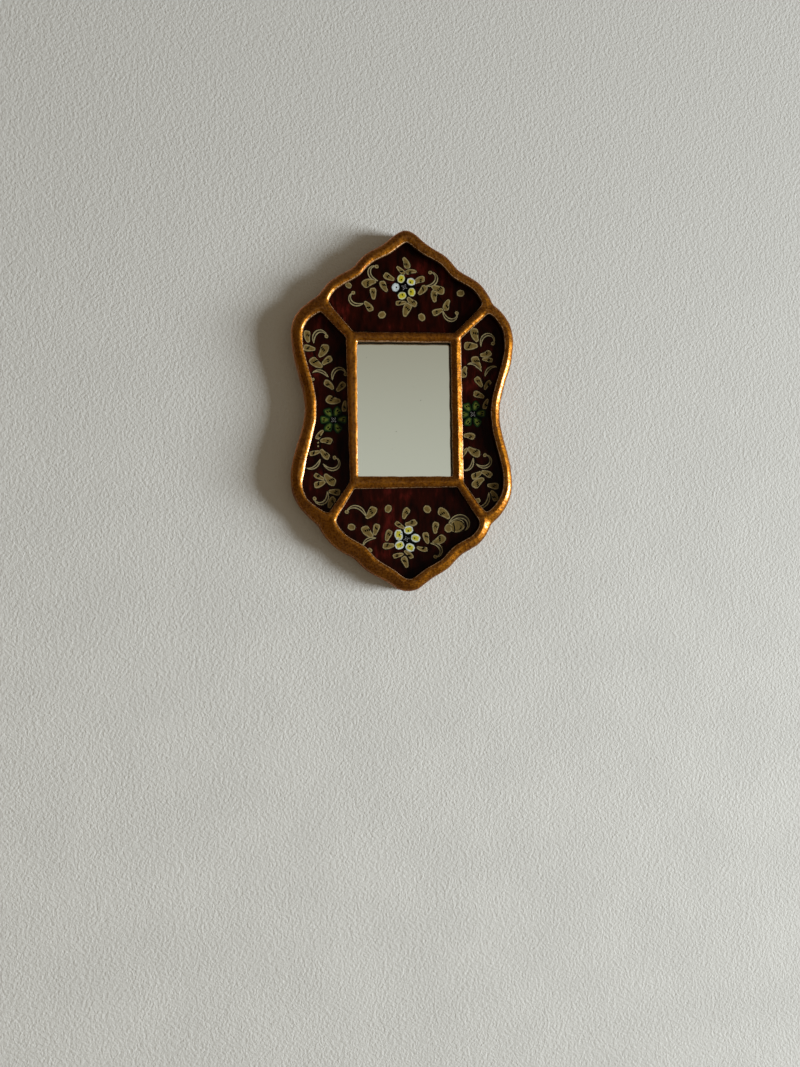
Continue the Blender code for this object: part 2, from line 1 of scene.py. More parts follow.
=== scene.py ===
"""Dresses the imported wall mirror: gilt bars, painted glass, mirror plate, back board and hanger.

The plan is measured in X and Z from the mirror plate's centre, as seen from the front. Depth is measured
from the wall towards the viewer, so a depth d lies at Y = -d. Lengths are in metres, but the plan lengths of
the painted ornament are in millimetres. The gilt bars are one flowing surface: every bar is a grid of
stations along it and columns across it, and a grid point's depth follows from its distances to the glass
openings and to the outer outline.
"""
import logging
import math
from dataclasses import dataclass, field
from enum import Enum
from typing import Any, Optional, Union

import bpy
import numpy as np
from mathutils import Matrix


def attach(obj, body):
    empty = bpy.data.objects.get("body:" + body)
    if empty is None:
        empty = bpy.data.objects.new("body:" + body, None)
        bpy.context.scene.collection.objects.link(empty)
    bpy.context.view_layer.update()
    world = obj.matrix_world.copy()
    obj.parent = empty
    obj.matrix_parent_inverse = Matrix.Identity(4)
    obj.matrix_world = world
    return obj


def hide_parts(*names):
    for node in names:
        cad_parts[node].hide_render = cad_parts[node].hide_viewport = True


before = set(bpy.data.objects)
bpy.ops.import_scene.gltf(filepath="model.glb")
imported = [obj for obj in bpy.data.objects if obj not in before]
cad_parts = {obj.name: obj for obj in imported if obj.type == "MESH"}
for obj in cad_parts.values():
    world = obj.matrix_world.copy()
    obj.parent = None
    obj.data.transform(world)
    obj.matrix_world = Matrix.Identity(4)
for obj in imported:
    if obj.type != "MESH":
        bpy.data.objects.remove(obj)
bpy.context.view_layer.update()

LOG = logging.getLogger("painted_mirror")
Array = np.ndarray
Pair = tuple[float, float]
Triple = tuple[float, float, float]
Colour = Triple
Border = tuple[str, int]

MILLIMETRE = 0.001
# How far the hanging point lies above the mirror plate's centre
HANG_RISE = 0.0933
# Lines whose cross product is smaller than this count as parallel
PARALLEL = 1e-15
# How many distances are worked out at once
BLOCK = 500_000


def along(path: Array) -> Array:
    """Distance run at each point of a path: the running sum of its steps' lengths."""
    return np.concatenate(([0.0], np.cumsum(np.linalg.norm(np.diff(path, axis=0), axis=1))))


def resampled(path: Array, count: int) -> Array:
    """The path with its points set evenly along its length, by straight interpolation.

    Args:
        path: points, one to a row.
        count: how many points to set.

    Returns:
        The new points.
    """
    run = along(path)
    stops = np.linspace(0.0, run[-1], count)
    return np.stack([np.interp(stops, run, path[:, axis]) for axis in range(path.shape[1])], axis=1)


def through(points: Array, steps: int = 40) -> Array:
    """A smooth curve through points: each span is the Catmull-Rom cubic of the four points round it.

    Args:
        points: the points, one to a row.
        steps: how many points to put on each span.

    Returns:
        The curve's points.
    """
    held = np.vstack((2 * points[0] - points[1], points, 2 * points[-1] - points[-2]))
    a, b, c, d = held[:-3, None], held[1:-2, None], held[2:-1, None], held[3:, None]
    s = np.linspace(0.0, 1.0, steps, endpoint=False)[None, :, None]
    square, cube = 2 * a - 5 * b + 4 * c - d, 3 * b - a - 3 * c + d
    cubic = (2 * b + (c - a) * s + square * s ** 2 + cube * s ** 3) / 2
    return np.vstack((cubic.reshape(-1, points.shape[1]), points[-1:]))


def bezier(start: Array, leave: Array, arrive: Array, end: Array, steps: int = 80) -> Array:
    """A cubic curve from start to end, pulled towards the two points between (Bernstein weights).

    Args:
        start: its first point.
        leave: the point that it leaves towards.
        arrive: the point that it arrives from.
        end: its last point.
        steps: how many points to put on it.

    Returns:
        The curve's points.
    """
    s = np.linspace(0.0, 1.0, steps)[:, None]
    r = 1.0 - s
    return r ** 3 * start + 3 * r ** 2 * s * leave + 3 * r * s ** 2 * arrive + s ** 3 * end


def arc(radius: float, start: float, end: float, steps: int, centre: Pair) -> Array:
    """Points on a circle from one angle to another: centre + radius (cos t, sin t)."""
    t = np.linspace(start, end, steps)
    return radius * np.stack((np.cos(t), np.sin(t)), axis=1) + centre


def towards(turn: float) -> Array:
    """The plan direction at an angle, in radians from the right, anticlockwise."""
    return np.array((math.cos(turn), math.sin(turn)))


def smooth(value: Array, low: float, high: float) -> Array:
    """Rises from 0 at low to 1 at high along the cubic 3t^2 - 2t^3."""
    t = np.clip((value - low) / (high - low), 0.0, 1.0)
    return t * t * (3.0 - 2.0 * t)


def unit(vector: Array) -> Array:
    """The vectors at length one, along the last axis."""
    return vector / np.linalg.norm(vector, axis=-1, keepdims=True)


def left_normals(path: Array) -> Array:
    """At each point, the mean of the left normals of its two steps, long enough to keep a mitred offset.

    Args:
        path: plan points, one to a row.

    Returns:
        One normal to each point.
    """
    steps = unit(np.diff(path, axis=0))
    normals = np.stack((-steps[:, 1], steps[:, 0]), axis=1)
    before = np.vstack((normals[:1], normals))
    after = np.vstack((normals, normals[-1:]))
    return (before + after) / (1.0 + np.sum(before * after, axis=1))[:, None]


def crossing(first: Array, second: Array) -> tuple[int, int, Array]:
    """Where one line crosses the next, nearest to the first one's end.

    Every step of the first is solved against every step of the second as two straight lines.

    Args:
        first: points of the first line.
        second: points of the second line.

    Returns:
        The step on the first, the step on the second and the point.
    """
    p, q = first[:-1, None], second[None, :-1]
    r, s = np.diff(first, axis=0)[:, None], np.diff(second, axis=0)[None]
    spread = r[..., 0] * s[..., 1] - r[..., 1] * s[..., 0]
    spread = np.where(np.abs(spread) < PARALLEL, PARALLEL, spread)
    gap = q - p
    t = (gap[..., 0] * s[..., 1] - gap[..., 1] * s[..., 0]) / spread
    u = (gap[..., 0] * r[..., 1] - gap[..., 1] * r[..., 0]) / spread
    rows, columns = np.nonzero((t >= 0) & (t <= 1) & (u >= 0) & (u <= 1))
    pick = np.lexsort((columns, -rows))[0]
    row, column = int(rows[pick]), int(columns[pick])
    return row, column, first[row] + t[row, column] * (first[row + 1] - first[row])


def distance_to(ring: Array, points: Array) -> Array:
    """Least distance from each point to a closed ring: to each straight step's nearest point, then the least.

    Args:
        ring: the ring's points.
        points: the points to measure from.

    Returns:
        One distance to each point.
    """
    step = np.roll(ring, -1, axis=0) - ring
    (x, z), (across, up) = ring.T, step.T
    square = across ** 2 + up ** 2
    found = np.empty(len(points))
    for block in np.array_split(np.arange(len(points)), max(1, len(points) * len(ring) // BLOCK)):
        gap_x, gap_z = points[block, :1] - x, points[block, 1:] - z
        share = np.clip((gap_x * across + gap_z * up) / square, 0.0, 1.0)
        found[block] = np.min((gap_x - share * across) ** 2 + (gap_z - share * up) ** 2, axis=1)
    return np.sqrt(found)


def ripple(points: Array, wave: float, turn: float) -> Array:
    """Slow unevenness of handwork, between about -1 and 1: three crossing sine waves of the plan.

    Args:
        points: plan points, along the last axis.
        wave: the main wave's length.
        turn: an angle that turns the pattern.

    Returns:
        One value to each point.
    """
    x, z = points[..., 0] * 2 * math.pi / wave, points[..., 1] * 2 * math.pi / wave
    c, s = math.cos(turn), math.sin(turn)
    return (np.sin(c * x + s * z + turn) + np.sin(1.7 * (c * z - s * x) + 2.1 * turn)
            + 0.7 * np.sin(2.6 * (s * x + 0.6 * z) + 3.3 * turn)) / 2.7


def placed(plan: Array, depth: Union[Array, float]) -> Array:
    """World points of plan points at a depth in front of the wall."""
    depth = np.broadcast_to(depth, plan.shape[:-1])
    return np.stack((plan[..., 0], -depth, plan[..., 1] - HANG_RISE), axis=-1)


def make_piece(name: str, points: Array, faces: list, body: str,
               sharp: float = 50.0) -> bpy.types.Object:
    """Makes a mesh piece with its faces outwards and lets it ride on a body.

    The signed volume, the sum of each fan triangle's scalar triple product, tells which way the faces point.

    Args:
        name: the piece's name.
        points: world points, one to a row.
        faces: arrays of corner numbers, each with one face to a row.
        body: the body that it moves with.
        sharp: the angle in degrees above which an edge stays sharp.

    Returns:
        The piece.
    """
    volume = sum(np.sum(np.cross(points[f[:, i]], points[f[:, i + 1]]) * points[f[:, 0]])
                 for f in faces for i in range(1, f.shape[1] - 1))
    rows = [row for f in faces for row in (f if volume > 0 else f[:, ::-1]).tolist()]
    mesh = bpy.data.meshes.new(name)
    mesh.from_pydata(points.tolist(), [], rows)
    mesh.shade_smooth()
    mesh.set_sharp_from_angle(angle=math.radians(sharp))
    piece = bpy.data.objects.new(name, mesh)
    bpy.context.scene.collection.objects.link(piece)
    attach(piece, body)
    LOG.info("%s: %d points", name, len(points))
    return piece


def tube_faces(stations: int, around: int, closed: bool = False) -> Array:
    """Quads of a tube whose points run station by station, each station once around.

    Args:
        stations: how many stations there are.
        around: points to a station.
        closed: whether the last station joins the first.

    Returns:
        Corner numbers, four to a row.
    """
    i, j = np.meshgrid(np.arange(stations if closed else stations - 1), np.arange(around), indexing="ij")
    i, j = i.ravel(), j.ravel()
    k, m = (i + 1) % stations, (j + 1) % around
    return np.stack((i * around + j, i * around + m, k * around + m, k * around + j), axis=1)


def fan_faces(ring: Array, pole: Array) -> Array:
    """Triangles from each step of a ring of corner numbers to its pole; both may be stacked."""
    pole = np.broadcast_to(np.asarray(pole)[..., None], ring.shape)
    return np.stack((np.roll(ring, -1, axis=-1), ring, pole), axis=-1).reshape(-1, 3)


def tube_piece(name: str, grid: Array, body: str, poles: Array,
               sharp: float = 50.0) -> bpy.types.Object:
    """A closed piece of a tube grid and a fan to a pole at each end.

    Args:
        name: the piece's name.
        grid: world points, station by station, each once around.
        body: the body that it moves with.
        poles: the two end points.
        sharp: the angle in degrees above which an edge stays sharp.

    Returns:
        The piece.
    """
    stations, around = grid.shape[:2]
    count = stations * around
    start = fan_faces(np.arange(around), np.array(count))
    end = fan_faces(np.arange(count - around, count)[::-1], np.array(count + 1))
    points = np.vstack((grid.reshape(-1, 3), poles))
    return make_piece(name, points, [tube_faces(stations, around), start, end], body, sharp)


class Value:
    """A shader socket that takes part in Python sums: each operator adds one Math node."""

    def __init__(self, shader: "Shader", socket: bpy.types.NodeSocket) -> None:
        """Wraps a socket of a shader's tree."""
        self.shader = shader
        self.socket = socket

    def _math(self, operation: str, first: Any, second: Any) -> "Value":
        """One Math node on two values."""
        return self.shader.node("ShaderNodeMath", {"operation": operation}, {0: first, 1: second})

    def __add__(self, other: Any) -> "Value":
        """Sum."""
        return self._math("ADD", self, other)

    def __sub__(self, other: Any) -> "Value":
        """Difference."""
        return self._math("SUBTRACT", self, other)

    def __rsub__(self, other: Any) -> "Value":
        """Difference from a number."""
        return self._math("SUBTRACT", other, self)

    def __mul__(self, other: Any) -> "Value":
        """Product."""
        return self._math("MULTIPLY", self, other)

    __radd__ = __add__

    def rising(self, low: float, high: float) -> "Value":
        """0 below low, 1 above high and smooth between; with low above high it falls."""
        limits = {"Value": self, "From Min": low, "From Max": high}
        return self.shader.node("ShaderNodeMapRange", {"interpolation_type": "SMOOTHSTEP"}, limits)


class Shader:
    """A node tree under construction, with one method that adds any node."""

    def __init__(self, tree: bpy.types.NodeTree) -> None:
        """Wraps a material's or the world's tree."""
        self.tree = tree

    def node(self, kind: str, settings: Optional[dict] = None, inputs: Optional[dict] = None,
             output: Union[int, str] = 0) -> Value:
        """Adds a node.

        Args:
            kind: the node's type.
            settings: its properties, and a ramp's stops under the key "stops".
            inputs: numbers, colours or values for its sockets, by name or place.
            output: the socket to hand back, by name or place.

        Returns:
            The chosen output.
        """
        made = self.tree.nodes.new(kind)
        for key, setting in (settings or {}).items():
            if key == "stops":
                elements = made.color_ramp.elements
                for stop, (place, colour) in enumerate(setting):
                    element = elements[stop] if stop < len(elements) else elements.new(place)
                    element.position = place
                    element.color = (*colour, 1.0)
            else:
                setattr(made, key, setting)
        self.feed(made, inputs or {})
        return Value(self, made.outputs[output])

    def feed(self, made: bpy.types.Node, inputs: dict) -> None:
        """Sets a node's sockets: a value is linked, a number or colour is set on the socket itself.

        Args:
            made: the node.
            inputs: what goes into its sockets, by name or place.
        """
        for key, given in inputs.items():
            socket = made.inputs[key]
            if isinstance(given, Value):
                self.tree.links.new(given.socket, socket)
            elif isinstance(given, tuple) and socket.type == "RGBA":
                socket.default_value = (*given, 1.0)
            else:
                socket.default_value = given

    def place(self, stretch: Triple = (1.0, 1.0, 1.0)) -> Value:
        """The surface point in the object's own coordinates, stretched along each axis."""
        here = self.node("ShaderNodeTexCoord", output="Object")
        return self.node("ShaderNodeMapping", {}, {"Vector": here, "Scale": stretch})

    def noise(self, grain: float, detail: float = 3.0, stretch: Triple = (1.0, 1.0, 1.0)) -> Value:
        """Cloudy noise from 0 to 1 whose blots are about one grain wide."""
        inputs = {"Vector": self.place(stretch), "Scale": 1.0 / grain, "Detail": detail, "Roughness": 0.6}
        return self.node("ShaderNodeTexNoise", {}, inputs)

    def mix(self, share: Any, first: Any, second: Any) -> Value:
        """A colour between two colours."""
        return self.node("ShaderNodeMix", {"data_type": "RGBA"}, {0: share, 6: first, 7: second}, 2)

    def bump(self, height: Value, distance: float) -> Value:
        """A normal that follows a height."""
        return self.node("ShaderNodeBump", {}, {"Height": height, "Distance": distance, "Strength": 1.0})

    def part(self, vector: Value, axis: str) -> Value:
        """One coordinate of a vector, by its letter."""
        return self.node("ShaderNodeSeparateXYZ", {}, {"Vector": vector}, axis)

    def mark(self, attribute: str, output: str = "Fac") -> Value:
        """A value or colour that the mesh carries under a name."""
        return self.node("ShaderNodeAttribute", {"attribute_name": attribute}, {}, output)


def new_material(name: str) -> tuple[bpy.types.Material, Shader, bpy.types.Node]:
    """A new material.

    Args:
        name: its name.

    Returns:
        The material, its shader and its Principled node.
    """
    material = bpy.data.materials.new(name)
    material.use_nodes = True
    return material, Shader(material.node_tree), material.node_tree.nodes["Principled BSDF"]


def coat(pieces: list[bpy.types.Object], material: bpy.types.Material) -> None:
    """Gives pieces of this scene their material."""
    for piece in pieces:
        piece.data.materials.append(material)


def cover(nodes: tuple[str, ...], material: bpy.types.Material) -> None:
    """Gives CAD nodes a material of this scene.

    Args:
        nodes: the nodes' names.
        material: the material that takes the place of theirs.
    """
    for name in nodes:
        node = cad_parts[name]
        node.data.materials.clear()
        node.data.materials.append(material)
        LOG.info("%s: %s", name, material.name)


@dataclass(frozen=True)
class GoldLeaf:
    """Bronze-toned leaf over red bole: patchy, grainy, worn through on high spots, bare wood at the back."""

    bright: Colour = (0.295, 0.103, 0.001)
    deep: Colour = (0.119, 0.033, 0.001)
    bole: Colour = (0.065, 0.013, 0.003)
    speck: Colour = (0.020, 0.007, 0.003)
    # Pale edge colour: partly worn-through gesso, partly a painted highlight along the glass edges
    gesso_and_highlight: Colour = (0.62, 0.42, 0.27)
    # Painted shade: near-black put on the bars' walls down to the glass and on their backs
    painted_shade_colour: Colour = (0.008, 0.004, 0.003)
    edge_tint: Colour = (0.90, 0.50, 0.16)
    wood: Colour = (0.23, 0.125, 0.055)
    wood_shade: float = 0.55
    patch_size: float = 0.010
    grain_size: float = 0.0013
    speck_size: float = 0.0007
    fibre_size: float = 0.0009
    fibre_stretch: Triple = (1.0, 1.0, 0.12)
    rear_from: float = -0.0009
    rear_full: float = -0.0002
    varnish: float = 0.8
    varnish_roughness: float = 0.22
    relief: float = 0.00014

    def material(self) -> bpy.types.Material:
        """Mixes leaf, bole, specks, pale lip flecks that are partly a painted highlight, painted shade and
        rear wood by noise, the bars' marks and the depth.

        Returns:
            The material.
        """
        made, shader, skin = new_material("gold_leaf")
        patches = shader.noise(self.patch_size, 4.0)
        grain = shader.noise(self.grain_size, 4.0)
        specks = shader.noise(self.speck_size, 2.0)
        leaf = shader.mix((patches * 0.35 + grain * 0.65).rising(0.36, 0.64), self.deep, self.bright)
        worn = (grain * 0.7 + patches * 0.3).rising(0.57, 0.68)
        leaf = shader.mix(worn * 0.6, leaf, self.bole)
        dark = specks.rising(0.62, 0.74) * 0.7
        leaf = shader.mix(dark, leaf, self.speck)
        # Pale flecks near the glass: partly worn gesso, partly a painted highlight along the edges
        edge = shader.mark("lip")
        lip = (edge * 0.25 + specks * 0.5 + grain * 0.4).rising(0.58, 0.72) * edge.rising(0.3, 0.8)
        leaf = shader.mix(lip * 0.6, leaf, self.gesso_and_highlight)
        # Painted shade: the walls down to the glass and the backs turn near-black and lose metal and varnish
        grime = shader.mark("grime").rising(0.15, 0.75)
        leaf = shader.mix(grime, leaf, self.painted_shade_colour)
        rear = shader.part(shader.place(), "Y").rising(self.rear_from, self.rear_full)
        fibres = shader.noise(self.fibre_size, 3.0, self.fibre_stretch)
        wood = shader.mix(fibres.rising(0.3, 0.7), self.wood, tuple(c * self.wood_shade for c in self.wood))
        coated = (specks * 0.5 + grain * 0.5).rising(0.36, 0.62) * self.varnish
        shader.feed(skin, {
            "Base Color": shader.mix(rear, leaf, wood),
            "Metallic": (0.95 - worn * 0.35 - dark * 0.4) * (1.0 - rear) * (1.0 - lip * 0.6) * (1.0 - grime),
            "Specular Tint": self.edge_tint,
            "Roughness": 0.30 + grain * 0.22 + worn * 0.12 + rear * 0.25,
            "Coat Weight": coated * (1.0 - rear) * (1.0 - grime),
            "Coat Roughness": self.varnish_roughness,
            "Normal": shader.bump(grain * 0.7 + specks * 0.3, self.relief),
        })
        return made


@dataclass(frozen=True)
class PaintedGround:
    """Burgundy ground behind clear glass: streaky, from near black to wine red, under a polished coat."""

    black: Colour = (0.0040, 0.0010, 0.0006)
    wine: Colour = (0.0165, 0.0021, 0.0010)
    red: Colour = (0.0700, 0.0066, 0.0048)
    streak_size: float = 0.0035
    streak_stretch: Triple = (1.0, 1.0, 0.28)
    blot_size: float = 0.021
    glass_gloss: float = 0.12
    glass_roughness: float = 0.04
    glass_index: float = 1.3

    def material(self) -> bpy.types.Material:
        """Mixes black, wine and red by streaks drawn up and down and by slow blots.

        Returns:
            The material.
        """
        made, shader, skin = new_material("painted_ground")
        streaks = shader.noise(self.streak_size, 4.0, self.streak_stretch)
        blots = shader.noise(self.blot_size, 3.0)
        ground = shader.mix((streaks * 0.5 + blots * 0.5).rising(0.36, 0.58), self.black, self.wine)
        ground = shader.mix((streaks * 0.45 + blots * 0.55).rising(0.53, 0.70), ground, self.red)
        shader.feed(skin, {
            "Base Color": ground,
            "Roughness": 0.28 + streaks * 0.2,
            "Specular IOR Level": 0.0,
            "Coat Weight": self.glass_gloss,
            "Coat Roughness": self.glass_roughness,
            "Coat IOR": self.glass_index,
        })
        return made


@dataclass(frozen=True)
class BrushPaint:
    """Opaque brush paint seen through the same glass: its colour is carried by the strokes."""

    attribute: str = "paint"
    bristle_size: float = 0.0012
    fading: float = 0.45
    relief: float = 0.00006
    glass_gloss: float = 0.2
    glass_roughness: float = 0.05
    glass_index: float = 1.3

    def material(self) -> bpy.types.Material:
        """Reads the strokes' colours and lets the pigment thin and thicken along them.

        Returns:
            The material.
        """
        made, shader, skin = new_material("brush_paint")
        paint = shader.mark(self.attribute, "Color")
        thin = shader.noise(self.bristle_size, 3.0)
        faded = shader.node("ShaderNodeVectorMath", {"operation": "SCALE"}, {0: paint, "Scale": self.fading})
        body = shader.mix(thin.rising(0.42, 0.70) * 0.7, paint, faded)
        shader.feed(skin, {
            "Base Color": body,
            "Roughness": 0.38 + thin * 0.2,
            "Specular IOR Level": 0.0,
            "Coat Weight": self.glass_gloss,
            "Coat Roughness": self.glass_roughness,
            "Coat IOR": self.glass_index,
            "Normal": shader.bump(thin, self.relief),
        })
        return made


@dataclass(frozen=True)
class SilveredGlass:
    """Silvered plate with a faint haze and a few tiny dark spots."""

    silver: Colour = (0.86, 0.88, 0.83)
    spot: Colour = (0.28, 0.29, 0.26)
    haze_size: float = 0.02
    spot_size: float = 0.0021

    def material(self) -> bpy.types.Material:
        """A near-perfect mirror with slow haze in its roughness and sparse spots in its colour.

        Returns:
            The material.
        """
        made, shader, skin = new_material("silvered_glass")
        haze = shader.noise(self.haze_size, 3.0)
        spots = shader.noise(self.spot_size, 1.0).rising(0.80, 0.83)
        shader.feed(skin, {
            "Base Color": shader.mix(spots, self.silver, self.spot),
            "Metallic": 1.0,
            "Roughness": 0.015 + haze * 0.03,
        })
        return made


@dataclass(frozen=True)
class Hardboard:
    """Brown pressed board with pale and dark fibres."""

    pale: Colour = (0.27, 0.165, 0.085)
    dark: Colour = (0.12, 0.066, 0.032)
    fibre_size: float = 0.0013
    fibre_stretch: Triple = (1.0, 1.0, 0.6)
    stain_size: float = 0.03
    relief: float = 0.00025

    def material(self) -> bpy.types.Material:
        """Mixes fibre tones by fine noise and slow stains.

        Returns:
            The material.
        """
        made, shader, skin = new_material("hardboard")
        fibres = shader.noise(self.fibre_size, 5.0, self.fibre_stretch)
        stains = shader.noise(self.stain_size, 3.0)
        shader.feed(skin, {
            "Base Color": shader.mix((fibres * 0.6 + stains * 0.4).rising(0.34, 0.66), self.dark, self.pale),
            "Roughness": 0.70 + fibres * 0.2,
            "Normal": shader.bump(fibres, self.relief),
        })
        return made


@dataclass(frozen=True)
class PlatedSteel:
    """Dull plated steel with grey bloom and light scratches."""

    bright: Colour = (0.60, 0.58, 0.52)
    bloom: Colour = (0.32, 0.31, 0.29)
    bloom_size: float = 0.003
    scratch_size: float = 0.0004
    scratch_stretch: Triple = (1.0, 1.0, 0.08)
    relief: float = 0.00003

    def material(self) -> bpy.types.Material:
        """Mixes plating and bloom by noise; scratches run along the height.

        Returns:
            The material.
        """
        made, shader, skin = new_material("plated_steel")
        bloom = shader.noise(self.bloom_size, 4.0)
        scratches = shader.noise(self.scratch_size, 2.0, self.scratch_stretch)
        shader.feed(skin, {
            "Base Color": shader.mix(bloom.rising(0.40, 0.70), self.bright, self.bloom),
            "Metallic": 1.0,
            "Roughness": 0.24 + bloom * 0.25 + scratches * 0.1,
            "Normal": shader.bump(scratches, self.relief),
        })
        return made


@dataclass(frozen=True)
class Plan:
    """The frame's plan: ridge lines of its twelve bars and the widths to both sides of them.

    Corners and notches are taken clockwise from the upper left. A list of widths gives the width from the
    ridge to an edge at even steps along a bar, walked clockwise.
    """

    height: float = 0.2522
    width: float = 0.156
    waist_width: float = 0.137
    lobe_height: float = 0.049
    notch_spread: float = 0.115
    notch_height: float = 0.0740
    notch_out: tuple[float, ...] = (-0.0003, 0.0006, -0.0030, -0.0040)
    notch_away: tuple[float, ...] = (-0.0033, 0.0001, 0.0012, 0.0019)
    notch_flare: float = 0.011
    notch_slope: float = math.radians(32.0)
    lobe_fullness: float = 0.013
    scallop_shares: tuple[float, ...] = (0.06, 0.20, 0.41, 0.57, 0.78, 0.92)
    crest_rises: tuple[float, ...] = (0.0012, 0.0013, 0.0040, 0.0025, 0.0053, 0.0036)
    foot_rises: tuple[float, ...] = (0.0022, 0.0024, 0.0046, 0.0030, 0.0053, 0.0036)
    foot_drift: float = 0.0042
    drift_start: float = -0.052
    drift_end: float = -0.090
    outer_left: float = 0.0047
    outer_right: float = 0.0041
    web_right: Pair = (0.0047, 0.0062)
    web_left: Pair = (0.0090, 0.0080)
    outer_top: tuple[float, ...] = (0.0047, 0.0045, 0.0044, 0.0043, 0.0046)
    outer_bottom: tuple[float, ...] = (0.0052, 0.0054, 0.0058, 0.0082, 0.0092)
    inner: float = 0.0028
    inner_apex: float = 0.0044
    inner_left: tuple[float, ...] = (0.0020, 0.0010, 0.0046, 0.0040, 0.0032, 0.0030, 0.0028, 0.0028, 0.0028)
    sight_width: float = 0.0663
    sight_height: float = 0.0935
    mirror_tilt: float = math.radians(1.5)
    mirror_shift: Pair = (0.0004, 0.0008)
    rail_top: Pair = (0.0066, 0.0066)
    stile_right: Pair = (0.0070, 0.0074)
    rail_bottom: Pair = (0.0074, 0.0086)
    stile_left: Pair = (0.0056, 0.0076)
    bar_widths: tuple[float, ...] = (0.0064, 0.0056, 0.0052, 0.0050)
    bar_flare: float = 0.0016
    run_out: float = 0.012
    station: float = 0.0012
    crest_steps: int = 120
    waist_steps: int = 160

    RIMS = ("rim_top", "rim_right", "rim_bottom", "rim_left")
    MIRROR_BARS = ("rail_top", "stile_right", "rail_bottom", "stile_left")
    BARS = ("bar_top_left", "bar_top_right", "bar_bottom_right", "bar_bottom_left")

    def evenly(self, path: Array) -> Array:
        """The path with its points about one station apart."""
        return resampled(path, max(2, round(along(path)[-1] / self.station)) + 1)

    def notch(self, corner: int) -> Array:
        """A corner's notch, turned to the upper right whichever corner it is."""
        across = self.notch_spread / 2 + self.notch_out[corner]
        return np.array((across, self.notch_height + self.notch_away[corner]))

    def lean(self, points: Array) -> Array:
        """Moves the foot sideways: nothing above drift_start, all of it below drift_end, smooth between."""
        share = smooth(-points[:, 1], -self.drift_start, -self.drift_end)
        return np.stack((points[:, 0] + self.foot_drift * share, points[:, 1]), axis=1)

    def scallops(self, apex: Array, notch: Array, rises: tuple[float, ...]) -> Array:
        """Points from apex to notch: shares of the chord between them, each raised square to it.

        Args:
            apex: the crest's middle.
            notch: the notch that it runs down to.
            rises: how far each point stands off the chord.

        Returns:
            The points after the apex, the notch last.
        """
        chord = notch - apex
        outwards = unit(np.array((-chord[1], chord[0])))
        shaped = apex + np.array(self.scallop_shares)[:, None] * chord + np.array(rises)[:, None] * outwards
        return np.vstack((shaped, notch))

    def crest(self, left: int, right: int, rises: tuple[float, ...], outer: float) -> Array:
        """A crest's ridge from notch over apex to notch: a smooth curve through its scallops.

        Args:
            left: corner of its left notch.
            right: corner of its right notch.
            rises: how far the scallops stand off the chord from apex to notch.
            outer: width from the ridge to the outline at the apex.

        Returns:
            The ridge's points.
        """
        apex = np.array((0.0, self.height / 2 - outer))
        falling = self.scallops(apex, self.notch(right), rises)
        rising = self.scallops(apex, self.notch(left), rises)[::-1] * (-1, 1)
        return self.evenly(through(np.vstack((rising, apex, falling)), self.crest_steps))

    def flank(self, top: int, bottom: int) -> Array:
        """A right flank's ridge from notch to notch: cubics round two lobes, a cosine waist between.

        Args:
            top: corner of its upper notch.
            bottom: corner of its lower notch.

        Returns:
            The ridge's points.
        """
        walls = self.outer_left + self.outer_right
        lobe = np.array(((self.width - walls) / 2, self.lobe_height))
        waist = (self.waist_width - walls) / 2
        flare = self.notch_flare * towards(-self.notch_slope)
        full = lobe + (0.0, self.lobe_fullness)
        notches = (self.notch(top), self.notch(bottom))
        upper, lower = (bezier(notch, notch + flare, full, lobe) for notch in notches)
        heights = np.linspace(self.lobe_height, -self.lobe_height, self.waist_steps)[1:-1]
        swell = (1 - np.cos(math.pi * heights / self.lobe_height)) / 2
        hollow = np.stack((waist + (lobe[0] - waist) * swell, heights), axis=1)
        return self.evenly(np.vstack((upper, hollow, lower[::-1] * (1, -1))))

    def corners(self) -> Array:
        """Where the ridges of the bars round the mirror meet: a rectangle, turned by the tilt and shifted.

        Returns:
            Four points, clockwise from the upper left.
        """
        top, right, bottom, left = (sum(getattr(self, name)) / 2 for name in self.MIRROR_BARS)
        west, east = -(self.sight_width + left) / 2, (self.sight_width + right) / 2
        south, north = -(self.sight_height + bottom) / 2, (self.sight_height + top) / 2
        square = np.array(((west, north), (east, north), (east, south), (west, south)))
        sine, cosine = math.sin(self.mirror_tilt), math.cos(self.mirror_tilt)
        return square @ np.array(((cosine, sine), (-sine, cosine))) + self.mirror_shift

    def ridges(self) -> dict[str, Array]:
        """Ridge lines of all bars: rim and mirror bars clockwise, diagonal bars from mirror to rim.

        Returns:
            Each bar's points by its name.
        """
        middle = len(self.outer_top) // 2
        foot = self.crest(3, 2, self.foot_rises, self.outer_bottom[middle])
        paths = (self.crest(0, 1, self.crest_rises, self.outer_top[middle]), self.flank(1, 2),
                 foot[::-1] * (1, -1), self.flank(0, 3)[::-1] * (-1, 1))
        lines = {name: self.lean(path) for name, path in zip(self.RIMS, paths)}
        corners = self.corners()
        for index, name in enumerate(self.MIRROR_BARS):
            lines[name] = corners[[index, (index + 1) % 4]]
        for index, (name, rim) in enumerate(zip(self.BARS, self.RIMS)):
            lines[name] = np.array((corners[index], lines[rim][0]))
        return lines

